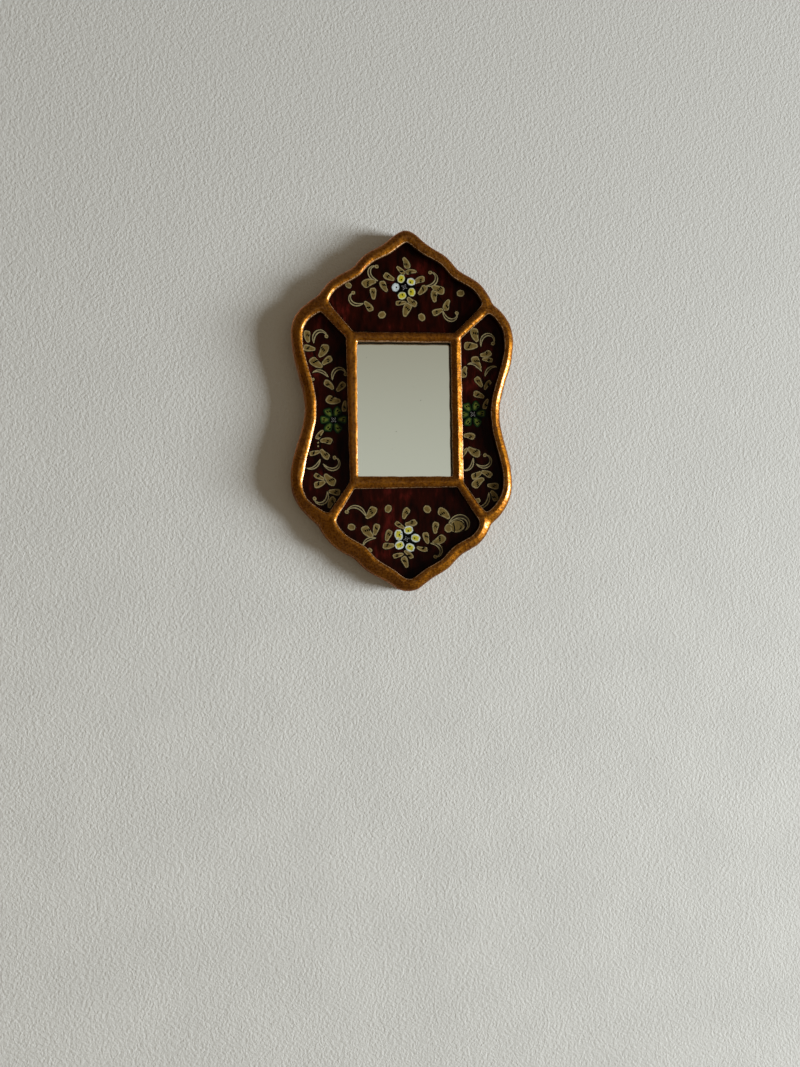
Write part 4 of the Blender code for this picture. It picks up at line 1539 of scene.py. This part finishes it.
ORNAMENTS = (
    Ornament(
        "top",
        Flower((-0.5, 86.5), 112, 6.2, 2.6,
               (Paint.YELLOW, Paint.SKY, Paint.YELLOW, Paint.YELLOW, Paint.WHITE)),
        leaves=((-1.5, 107, -67, Leaf.PLAIN), (-6, 100.5, -42, Leaf.SLIM), (8, 97.5, -172, Leaf.SLIM),
                (-7.5, 91.5, 155, Leaf.PLAIN), (-12.5, 83, 118, Leaf.PLAIN), (-20.5, 89.5, 200, Leaf.BROAD),
                (-22, 77, 95, Leaf.PLAIN), (6.5, 89.5, 25, Leaf.PLAIN), (9.5, 82, 50, Leaf.PLAIN),
                (19, 88.5, -22, Leaf.BROAD), (21.5, 77, 93, Leaf.PLAIN), (1, 76, 188, Leaf.SLIM),
                (2, 79.5, -38, Leaf.PLAIN), (0, 66, 70, Leaf.BROAD), (-28.5, 75, -50, Leaf.PLAIN),
                (31.5, 79, -108, Leaf.PLAIN), (27, 72, 204, Leaf.PLAIN)),
        curls=((-19, 90, 165, -1, Curl.HOOK), (-29, 74, 205, -1, Curl.HOOK), (15, 88, 5, 1, Curl.HOOK),
               (27, 71, -75, 1, Curl.HOOK)),
        dots=((-39.5, 86, 2.0), (-16, 66.5, 2.4), (12, 66, 2.4), (39.5, 84, 2.4)),
        stems=((-10, 88, 190, 11, -20, 0.9), (7, 87, -10, 13, 30, 0.9), (-21, 88, 250, 13, -20, 0.7),
               (20, 88, -60, 14, 10, 0.7), (1, 78, -80, 7, 0, 0.7)),
    ),
    Ornament(
        "bottom",
        Flower((2.5, -89.5), 150, 6.5, 2.9, (Paint.WHITE,) * 5),
        leaves=((0.5, -75.5, 65, Leaf.PLAIN), (1, -82, 147, Leaf.SLIM), (1.5, -79, 15, Leaf.PLAIN),
                (-11.5, -91, 70, Leaf.PLAIN), (-6, -93.5, 185, Leaf.PLAIN), (10, -95, -12, Leaf.SLIM),
                (0.5, -100, 195, Leaf.SLIM), (1, -98, -42, Leaf.SLIM), (3, -109.5, 112, Leaf.PLAIN),
                (-26, -75, 52, Leaf.BROAD), (-21, -88, 132, Leaf.BROAD), (-20, -87, 75, Leaf.PLAIN),
                (32.5, -75, 143, Leaf.BROAD), (23, -85.5, 85, Leaf.PLAIN), (18, -92.5, 105, Leaf.PLAIN),
                (21, -92, 30, Leaf.BROAD)),
        curls=((-26, -74, 115, 1, Curl.ARCH), (-19, -89, 180, 1, Curl.SPRIG), (19.5, -92.5, 0, -1, Curl.HOOK),
               (32.5, -78, 50, -1, Curl.SHELL)),
        dots=((-10.5, -68.5, 2.4), (17, -68.5, 2.5), (-36, -81.5, 2.3), (-23, -97.5, 1.4)),
        stems=((-20, -88, 60, 9, 20, 0.7), (20, -93, 50, 12, 20, 0.7), (1, -81, 95, 6, -10, 0.7)),
        marks=((35.5, -77.5, -70, 8, -40, 0.9), (41, -79.5, -70, 4, -120, 0.8), (37, -76, 0, 9, -90, 0.8)),
        dabs=((38.5, -80, 4.8, Paint.GOLD), (32.5, -81.5, 2.9, Paint.GOLD), (-2.5, -88, 2.4, Paint.WHITE)),
    ),
    Ornament(
        "left",
        Flower((-49, -7.5), 2, 6.2, 2.9, (Paint.GREEN,) * 6, True),
        leaves=((-66.5, 45.5, 97, Leaf.PLAIN), (-62, 41, 172, Leaf.PLAIN), (-59.5, 36, 62, Leaf.BROAD),
                (-57, 30.5, 38, Leaf.PLAIN), (-57, 29, 145, Leaf.BROAD), (-49.5, 13.5, 140, Leaf.PLAIN),
                (-47, 12.5, 48, Leaf.PLAIN), (-44.5, 6, 170, Leaf.BROAD), (-41, 6, -95, Leaf.SLIM),
                (-56, -15, 235, Leaf.SLIM), (-58, -22.5, -2, Leaf.PLAIN), (-58, -29.5, 195, Leaf.SLIM),
                (-57.5, -28, -45, Leaf.PLAIN), (-55, -48.5, 155, Leaf.SLIM), (-54.5, -50, 202, Leaf.PLAIN),
                (-54.5, -45, -42, Leaf.BROAD), (-52, -57, -5, Leaf.PLAIN), (-51.5, -68.5, 62, Leaf.PLAIN)),
        curls=((-63, 45, 100, -1, Curl.HOOK), (-53, 22, 130, 1, Curl.SPRIG), (-50, 20, 95, -1, Curl.HOOK),
               (-58, -35, 250, -1, Curl.SPRIG), (-56, -38, -50, 1, Curl.TIGHT),
               (-53, -57, -80, -1, Curl.HOOK)),
        dots=((-63.5, 20, 1.0), (-59.5, -20.5, 0.8), (-59.5, -23.5, 0.5), (-59.5, -26, 0.5)),
        stems=((-45, 4, 110, 28, 20, 0.8), (-53.5, 23, 125, 22, -10, 0.8), (-57, -15, -95, 26, 10, 0.8),
               (-57, -38, -75, 18, 10, 0.8)),
    ),
    Ornament(
        "right",
        Flower((49, -1), 5, 6.2, 2.9, (Paint.GREEN,) * 6, True),
        leaves=((52, 50.5, 105, Leaf.BROAD), (52, 47.5, 182, Leaf.BROAD), (54, 41, 18, Leaf.PLAIN),
                (55.5, 38, -5, Leaf.SLIM), (54.5, 31.5, 120, Leaf.BROAD), (44, 32.5, 258, Leaf.PLAIN),
                (55.5, 18.5, 125, Leaf.PLAIN), (57.5, 16.5, 55, Leaf.SLIM), (57, 11, 160, Leaf.PLAIN),
                (60, 10, 250, Leaf.SLIM), (42.5, -16.5, -7, Leaf.PLAIN), (45.5, -25, 230, Leaf.SLIM),
                (46, -24.5, -28, Leaf.BROAD), (55.5, -41.5, -22, Leaf.PLAIN), (55.5, -41.5, 210, Leaf.PLAIN),
                (57.5, -46.5, 220, Leaf.BROAD), (60, -51, -5, Leaf.PLAIN), (62.5, -55, -63, Leaf.PLAIN)),
        curls=((54.5, 47, 95, -1, Curl.TIGHT), (55, 29.5, 120, 1, Curl.SPRIG), (57.5, 26, 75, -1, Curl.SPRIG),
               (49.5, -32, -90, -1, Curl.SPRIG), (51.5, -36, -35, 1, Curl.TIGHT),
               (61, -56, -85, -1, Curl.ARCH)),
        dots=((53, -62, 1.8),),
        stems=((54, 47, -95, 20, 20, 0.8), (55, 28, -75, 22, 20, 0.8), (45, -18, -75, 20, 25, 0.8),
               (53, -38, -60, 20, 10, 0.8)),
    ),
)


@dataclass
class Glazing:
    """The painted panes with their ornament, and the mirror plate's silver at the back of its clear glass."""

    frame_plan: Plan = field(default_factory=Plan)
    panes: tuple[str, ...] = ("pane_top", "pane_right", "pane_bottom", "pane_left")
    plate: str = "mirror_plate"
    silver_front: float = 0.0095
    silver_back: float = 0.0093
    under_lip: float = 0.0015

    def silver(self) -> bpy.types.Object:
        """The silvered sheet: the rectangle of the mirror bars' ridges, drawn in to end under their lips.

        Returns:
            The piece.
        """
        corners = self.frame_plan.corners()
        # The four bars' mean half width: each bar gives its whole width at both ends
        half = sum(sum(getattr(self.frame_plan, name)) for name in Plan.MIRROR_BARS) / 16
        centre = corners.mean(axis=0)
        inset = half - self.under_lip
        sheet = corners - inset * np.sign(corners - centre)
        grid = np.stack((placed(sheet, self.silver_front), placed(sheet, self.silver_back)))
        poles = placed(np.stack((centre, centre)), np.array((self.silver_front, self.silver_back)))
        piece = tube_piece("silver_sheet", grid, "frame", poles)
        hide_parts(self.plate)
        return piece

    def build(self) -> list[bpy.types.Object]:
        """Lays the ornament on each pane and the silver in the middle."""
        return [ornament.build() for ornament in ORNAMENTS] + [self.silver()]

    def dress(self, pieces: list[bpy.types.Object]) -> None:
        """Paints the strokes and the panes' ground and silvers the sheet.

        Args:
            pieces: the panes' ornaments, then the sheet.
        """
        coat(pieces[:-1], BrushPaint().material())
        coat(pieces[-1:], SilveredGlass().material())
        cover(self.panes, PaintedGround().material())


@dataclass
class Hanger:
    """The back board with its brads, the strap hanger, its screws and the ring."""

    plan: Plan = field(default_factory=Plan)
    height: float = 0.0831
    strap_front: float = 0.0047
    strap_thickness: float = 0.0008
    strap_width: float = 0.0070
    strap_drop: float = 0.0185
    eye_radius: float = 0.0014
    eye_turn: float = math.radians(285.0)
    wire: float = 0.0016
    ring_half: float = 0.0075
    ring_reach: float = 0.0110
    ring_corner: float = 0.0020
    screw_drops: Pair = (0.0050, 0.0152)
    screw_head: float = 0.0020
    screw_rise: float = 0.0009
    screw_shank: float = 0.0009
    screw_reach: float = 0.0044
    slot_half: float = 0.00028
    slot_depth: float = 0.0005
    brad_shares: Pair = (0.27, 0.73)
    brad_radius: float = 0.0006
    brad_head: float = 0.0010
    brad_rise: float = 0.0005
    brad_driven: float = 0.0032
    brad_proud: float = 0.0052
    brad_depth: float = 0.0037
    brad_dome: float = 0.96
    tongue: float = 0.0013
    screw_seat: float = 0.0001
    screw_dome: float = 0.985
    screw_crowding: float = 0.7
    screw_sides: int = 96
    slot_blend: Pair = (0.7, 1.3)
    slot_floor: float = 0.3
    askew: Triple = (0.31, 0.17, 0.93)
    sharp: float = 40.0
    strap_tip: float = 0.0004
    strap_columns: int = 13
    ring_points: int = 180
    wire_sides: int = 20

    @property
    def eye_depth(self) -> float:
        """Depth of the swing axis."""
        return self.strap_front - self.strap_thickness / 2 - self.eye_radius

    def turned(self, name: str, radii: Array, heights: Array, base: Array, way: Array, slot: float = 0.0,
               sides: int = 32) -> bpy.types.Object:
        """A turned piece: radius and height along a profile, carried round an axis.

        The point at angle t is base + way h + r (u cos t + v sin t). A slot may cross the crown: where
        |r sin t| is less than the slot's half width, the crown is lowered by the slot's depth.

        Args:
            name: the piece's CAD node.
            radii: radius at each profile point.
            heights: height at each profile point, the crown last.
            base: world point at height 0.
            way: the axis.
            slot: the slot's depth, 0 for none.
            sides: points round the axis.

        Returns:
            The piece.
        """
        t = np.linspace(0.0, 2 * math.pi, sides, endpoint=False)[None]
        r, h = radii[:, None], heights[:, None]
        start, full = (blend * self.slot_half for blend in self.slot_blend)
        low = slot * (1 - smooth(np.abs(r * np.sin(t)), start, full))
        floor = self.slot_floor * heights[-1]
        h = np.where(h > floor, np.maximum(h - low, floor), h + 0 * t)
        way = unit(way)
        u = unit(np.cross(way, self.askew))
        v = np.cross(way, u)
        grid = base + h[..., None] * way + (r * np.cos(t))[..., None] * u + (r * np.sin(t))[..., None] * v
        poles = base + np.array((heights[0], heights[-1] - slot))[:, None] * way
        piece = tube_piece("steel_" + name, grid, "frame", poles, self.sharp)
        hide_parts(name)
        return piece

    def brads(self) -> list[bpy.types.Object]:
        """Two brads to each rim length, square to its inner wall, with low domed heads.

        Returns:
            The pieces.
        """
        made = []
        dome = np.linspace(0.0, self.brad_dome, 5)
        shank = (self.brad_radius, self.brad_radius)
        radii = np.concatenate((shank, self.brad_head * np.sqrt(1 - dome ** 2)))
        tops = self.brad_proud + self.brad_rise * dome
        heights = np.concatenate(((-self.brad_driven, self.brad_proud), tops))
        for rim in self.plan.RIMS:
            path = self.plan.ridges()[rim]
            run = along(path)
            for share in self.brad_shares:
                stops = np.array((share * run[-1], share * run[-1] + self.plan.station / 4))
                here, ahead = np.stack([np.interp(stops, run, path[:, axis]) for axis in (0, 1)], axis=1)
                way = unit(ahead - here)
                inwards = np.array((way[1], -way[0]))
                mouth = placed(here + inwards * self.tongue, self.brad_depth)
                spike = np.array((inwards[0], 0.0, inwards[1]))
                made.append(self.turned(f"brad_{len(made) + 1}", radii, heights, mouth, spike))
        return made

    def screws(self) -> list[bpy.types.Object]:
        """Two slotted round-head screws: an elliptic dome on a plain shank.

        Returns:
            The pieces.
        """
        made = []
        dome = np.linspace(0.0, 1.0, 14) ** self.screw_crowding * self.screw_dome
        shank = (self.screw_shank, self.screw_shank)
        radii = np.concatenate((shank, self.screw_head * np.sqrt(1 - dome ** 2)))
        heights = np.concatenate(((-self.screw_reach, 0.0), self.screw_rise * dome))
        seat = self.strap_front - self.strap_thickness - self.screw_seat
        way = np.array((0.0, 1.0, 0.0))
        for name, drop in zip(("hanger_screw_upper", "hanger_screw_lower"), self.screw_drops):
            base = placed(np.array((0.0, self.height - drop)), seat)
            screw = self.turned(name, radii, heights, base, way, self.slot_depth, self.screw_sides)
            made.append(screw)
        return made

    def strap(self) -> bpy.types.Object:
        """The strap: a flat line up the board, then a curl of one radius, as a slab with a rounded foot.

        The slab's point is line(s) + e n(s) in depth and height and w(s) b across, with e half the thickness
        either way, and w a half circle over the foot and the full half width above it.

        Returns:
            The piece.
        """
        middle = self.strap_front - self.strap_thickness / 2
        half = self.strap_width / 2
        foot = -self.strap_drop + half * (1 - np.cos(np.linspace(0.0, math.pi / 2, 16)))
        straight = np.concatenate((foot, np.linspace(foot[-1], 0.0, 24)[1:-1]))
        curl = arc(self.eye_radius, 0.0, self.eye_turn, 60, (self.eye_depth, 0.0))
        line = np.vstack((np.stack((np.full(len(straight), middle), straight), axis=1), curl))
        rise = np.clip((line[:, 1] + self.strap_drop) / half, 0.0, 1.0)
        wide = half * np.sqrt(np.clip(1 - (1 - rise) ** 2, self.strap_tip, 1.0))
        wide[len(straight):] = half
        across = np.linspace(-1, 1, self.strap_columns)
        b = np.concatenate((across, -across))
        e = np.repeat((0.5, -0.5), self.strap_columns) * self.strap_thickness
        profile = line[:, None] + e[None, :, None] * left_normals(line)[:, None]
        x = wide[:, None] * b[None]
        grid = np.stack((x, -profile[..., 0], profile[..., 1] + self.height - HANG_RISE), axis=-1)
        poles = np.array([grid[0].mean(axis=0), grid[-1].mean(axis=0)])
        piece = tube_piece("steel_hanger_strap", grid, "frame", poles, self.sharp)
        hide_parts("hanger_strap")
        return piece

    def ring(self) -> bpy.types.Object:
        """The D-ring: a round wire carried along a bar, two rounded corners and a half-circle bow.

        Returns:
            The piece.
        """
        top = arc(self.ring_half, 0.0, math.pi, 49, (0.0, self.ring_reach - self.ring_half))
        bend = (self.ring_corner - self.ring_half, self.ring_corner)
        left = arc(self.ring_corner, math.pi, 1.5 * math.pi, 13, bend)
        path = np.vstack((top, left, left[::-1] * (-1, 1), top[:1]))
        path = resampled(path, self.ring_points + 1)[:-1]
        way = unit(np.roll(path, -1, axis=0) - np.roll(path, 1, axis=0))
        out = np.stack((way[:, 1], -way[:, 0]), axis=1)
        t = np.linspace(0.0, 2 * math.pi, self.wire_sides, endpoint=False)
        plan = path[:, None] + self.wire / 2 * np.cos(t)[None, :, None] * out[:, None]
        depth = self.eye_depth + np.broadcast_to(self.wire / 2 * np.sin(t), plan.shape[:2])
        points = placed(plan + (0.0, self.height), depth).reshape(-1, 3)
        faces = [tube_faces(len(path), len(t), True)]
        piece = make_piece("steel_hanger_ring", points, faces, "ring")
        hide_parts("hanger_ring")
        return piece

    def build(self) -> list[bpy.types.Object]:
        """Builds all the steel pieces."""
        return self.brads() + self.screws() + [self.strap(), self.ring()]

    def dress(self, pieces: list[bpy.types.Object]) -> None:
        """Plates the steel and covers the board."""
        coat(pieces, PlatedSteel().material())
        cover(("back_board",), Hardboard().material())


def stand(thing: bpy.types.Object, axes: tuple[Array, Array, Array], place: tuple) -> None:
    """Puts an object of the stage in its place.

    Args:
        thing: the object.
        axes: its three axes as world directions.
        place: its world point.
    """
    turn = np.eye(4)
    turn[:3, :3] = np.stack(axes, axis=1)
    turn[:3, 3] = place
    thing.matrix_world = Matrix(turn.tolist())


@dataclass
class Studio:
    """The pale wall, soft light from the right and the camera in front, a little left and below."""

    wall_colour: Colour = (0.630, 0.604, 0.592)
    wall_gap: float = 0.0006
    wall_half: float = 2.5
    wall_dim: float = 0.95
    # Share of the wall's colour at the top, and the heights between which it darkens: painted shade
    wall_painted_dark: float = 0.84
    painted_dark_heights: Pair = (-0.45, 0.3)
    tone_size: float = 0.05
    stipple_size: float = 0.0018
    stipple_relief: float = 0.0005
    room_left: Colour = (0.140, 0.098, 0.045)
    room_front: Colour = (0.33, 0.26, 0.085)
    patch_colour: Colour = (0.52, 0.525, 0.46)
    patch_way: Triple = (0.12, -0.985, 0.12)
    room_right: Colour = (0.34, 0.345, 0.33)
    room_dark: Colour = (0.23, 0.195, 0.14)
    room_high: Colour = (0.20, 0.165, 0.11)
    room_stops: Triple = (0.32, 0.56, 0.85)
    above: Pair = (0.0, 0.45)
    below: Pair = (-0.05, -0.6)
    patch_cosines: Pair = (0.95, 0.985)
    window_place: Triple = (4.53, -1.79, -0.55)
    window_size: Pair = (1.9, 1.3)
    window_watts: float = 458.0
    window_colour: Colour = (0.90, 0.99, 1.0)
    rear_place: Triple = (-0.5, 0.8, 0.5)
    rear_size: Pair = (0.8, 0.8)
    rear_watts: float = 6.0
    rear_colour: Colour = (1.0, 1.0, 1.0)
    yaw: float = math.radians(7.0)
    roll: float = math.radians(0.48)
    eye: Triple = (-0.0702, -0.5661, -0.1790)
    focal_pixels: float = 800.0
    image_height: float = 1067.0
    sensor: float = 36.0
    clip_start: float = 0.01

    def wall(self) -> None:
        """A stippled plaster sheet behind the mirror, darker towards the top as painted shade; seen from
        behind it lets the view through.
        """
        half, y = self.wall_half, self.wall_gap
        mesh = bpy.data.meshes.new("wall")
        corners = [(-half, y, -half), (half, y, -half), (half, y, half), (-half, y, half)]
        mesh.from_pydata(corners, [], [(0, 1, 2, 3)])
        wall = bpy.data.objects.new("wall", mesh)
        bpy.context.scene.collection.objects.link(wall)
        material, shader, skin = new_material("plaster")
        stipple = shader.noise(self.stipple_size, 2.0)
        tone = shader.noise(self.tone_size, 2.0)
        # Tone noise varies the plaster; the height mix is painted shade that darkens the wall towards the top
        dim, painted_dark = (tuple(share * c for c in self.wall_colour) for share in (self.wall_dim, self.wall_painted_dark))
        height = shader.part(shader.place(), "Z")
        plaster = shader.mix(tone.rising(0.3, 0.7), dim, self.wall_colour)
        shader.feed(skin, {
            "Base Color": shader.mix(height.rising(*self.painted_dark_heights), plaster, painted_dark),
            "Roughness": 0.85,
            "Normal": shader.bump(stipple, self.stipple_relief),
        })
        output = material.node_tree.nodes["Material Output"]
        clear = shader.node("ShaderNodeBsdfTransparent")
        behind = shader.node("ShaderNodeNewGeometry", output="Backfacing")
        front = Value(shader, skin.outputs[0])
        both = shader.node("ShaderNodeMixShader", {}, {0: behind, 1: front, 2: clear})
        shader.feed(output, {"Surface": both})
        mesh.materials.append(material)
        wall.visible_shadow = False

    def light(self, name: str, place: tuple, size: tuple, watts: float, colour: Colour) -> None:
        """A rectangular area light turned towards the mirror plate's centre.

        Args:
            name: its name.
            place: its world point.
            size: its width and height.
            watts: its power.
            colour: its colour.
        """
        lamp = bpy.data.lights.new(name, "AREA")
        lamp.shape = "RECTANGLE"
        lamp.size, lamp.size_y = size
        lamp.energy = watts
        lamp.color = colour
        lit = bpy.data.objects.new(name, lamp)
        bpy.context.scene.collection.objects.link(lit)
        back = unit(np.array(place) - np.array((0.0, 0.0, -HANG_RISE)))
        side = unit(np.cross((0.0, 0.0, 1.0), back))
        stand(lit, (side, np.cross(back, side), back), place)

    def room(self) -> None:
        """The room's glow: a ramp from left over front to right, dark above and below.

        A pale patch lies in front and covers the directions whose cosine with its own is near 1.
        """
        world = bpy.data.worlds.new("room")
        world.use_nodes = True
        shader = Shader(world.node_tree)
        way = shader.node("ShaderNodeTexCoord", output="Generated")
        x, z = shader.part(way, "X"), shader.part(way, "Z")
        both = {0: way, 1: self.patch_way}
        facing = shader.node("ShaderNodeVectorMath", {"operation": "DOT_PRODUCT"}, both, "Value")
        stops = tuple(zip(self.room_stops, (self.room_left, self.room_front, self.room_right)))
        around = shader.node("ShaderNodeValToRGB", {"stops": stops}, {"Fac": x * 0.5 + 0.5})
        glow = shader.mix(z.rising(*self.above), around, self.room_dark)
        glow = shader.mix(z.rising(*self.below), glow, self.room_dark)
        patch = shader.mix(z.rising(*self.above), self.patch_colour, self.room_high)
        glow = shader.mix(facing.rising(*self.patch_cosines), glow, patch)
        shader.feed(world.node_tree.nodes["Background"], {"Color": glow})
        bpy.context.scene.world = world

    def camera(self) -> None:
        """Sets the camera: forward is turned right by the yaw, and the picture rolled a little."""
        scene = bpy.context.scene
        lens = bpy.data.cameras.new("portrait")
        lens.sensor_width = self.sensor
        lens.lens = self.sensor * self.focal_pixels / self.image_height
        lens.clip_start = self.clip_start
        eye = bpy.data.objects.new("portrait", lens)
        scene.collection.objects.link(eye)
        forward = np.array((math.sin(self.yaw), math.cos(self.yaw), 0.0))
        level = np.array((math.cos(self.yaw), -math.sin(self.yaw), 0.0))
        upright = np.cross(level, forward)
        right = level * math.cos(self.roll) + upright * math.sin(self.roll)
        stand(eye, (right, np.cross(right, forward), -forward), self.eye)
        scene.camera = eye

    def build(self) -> None:
        """Sets the wall, the lights, the room's glow and the camera."""
        self.wall()
        self.light("window", self.window_place, self.window_size, self.window_watts, self.window_colour)
        self.light("rear_fill", self.rear_place, self.rear_size, self.rear_watts, self.rear_colour)
        self.room()
        bpy.context.scene.view_settings.view_transform = "Standard"
        self.camera()


def main() -> None:
    """Builds and dresses the sub-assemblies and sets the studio."""
    logging.basicConfig(level=logging.INFO, format="%(name)s: %(message)s")
    for assembly in (GiltFrame(), Glazing(), Hanger()):
        assembly.dress(assembly.build())
    Studio().build()


if __name__ == "__main__":
    main()
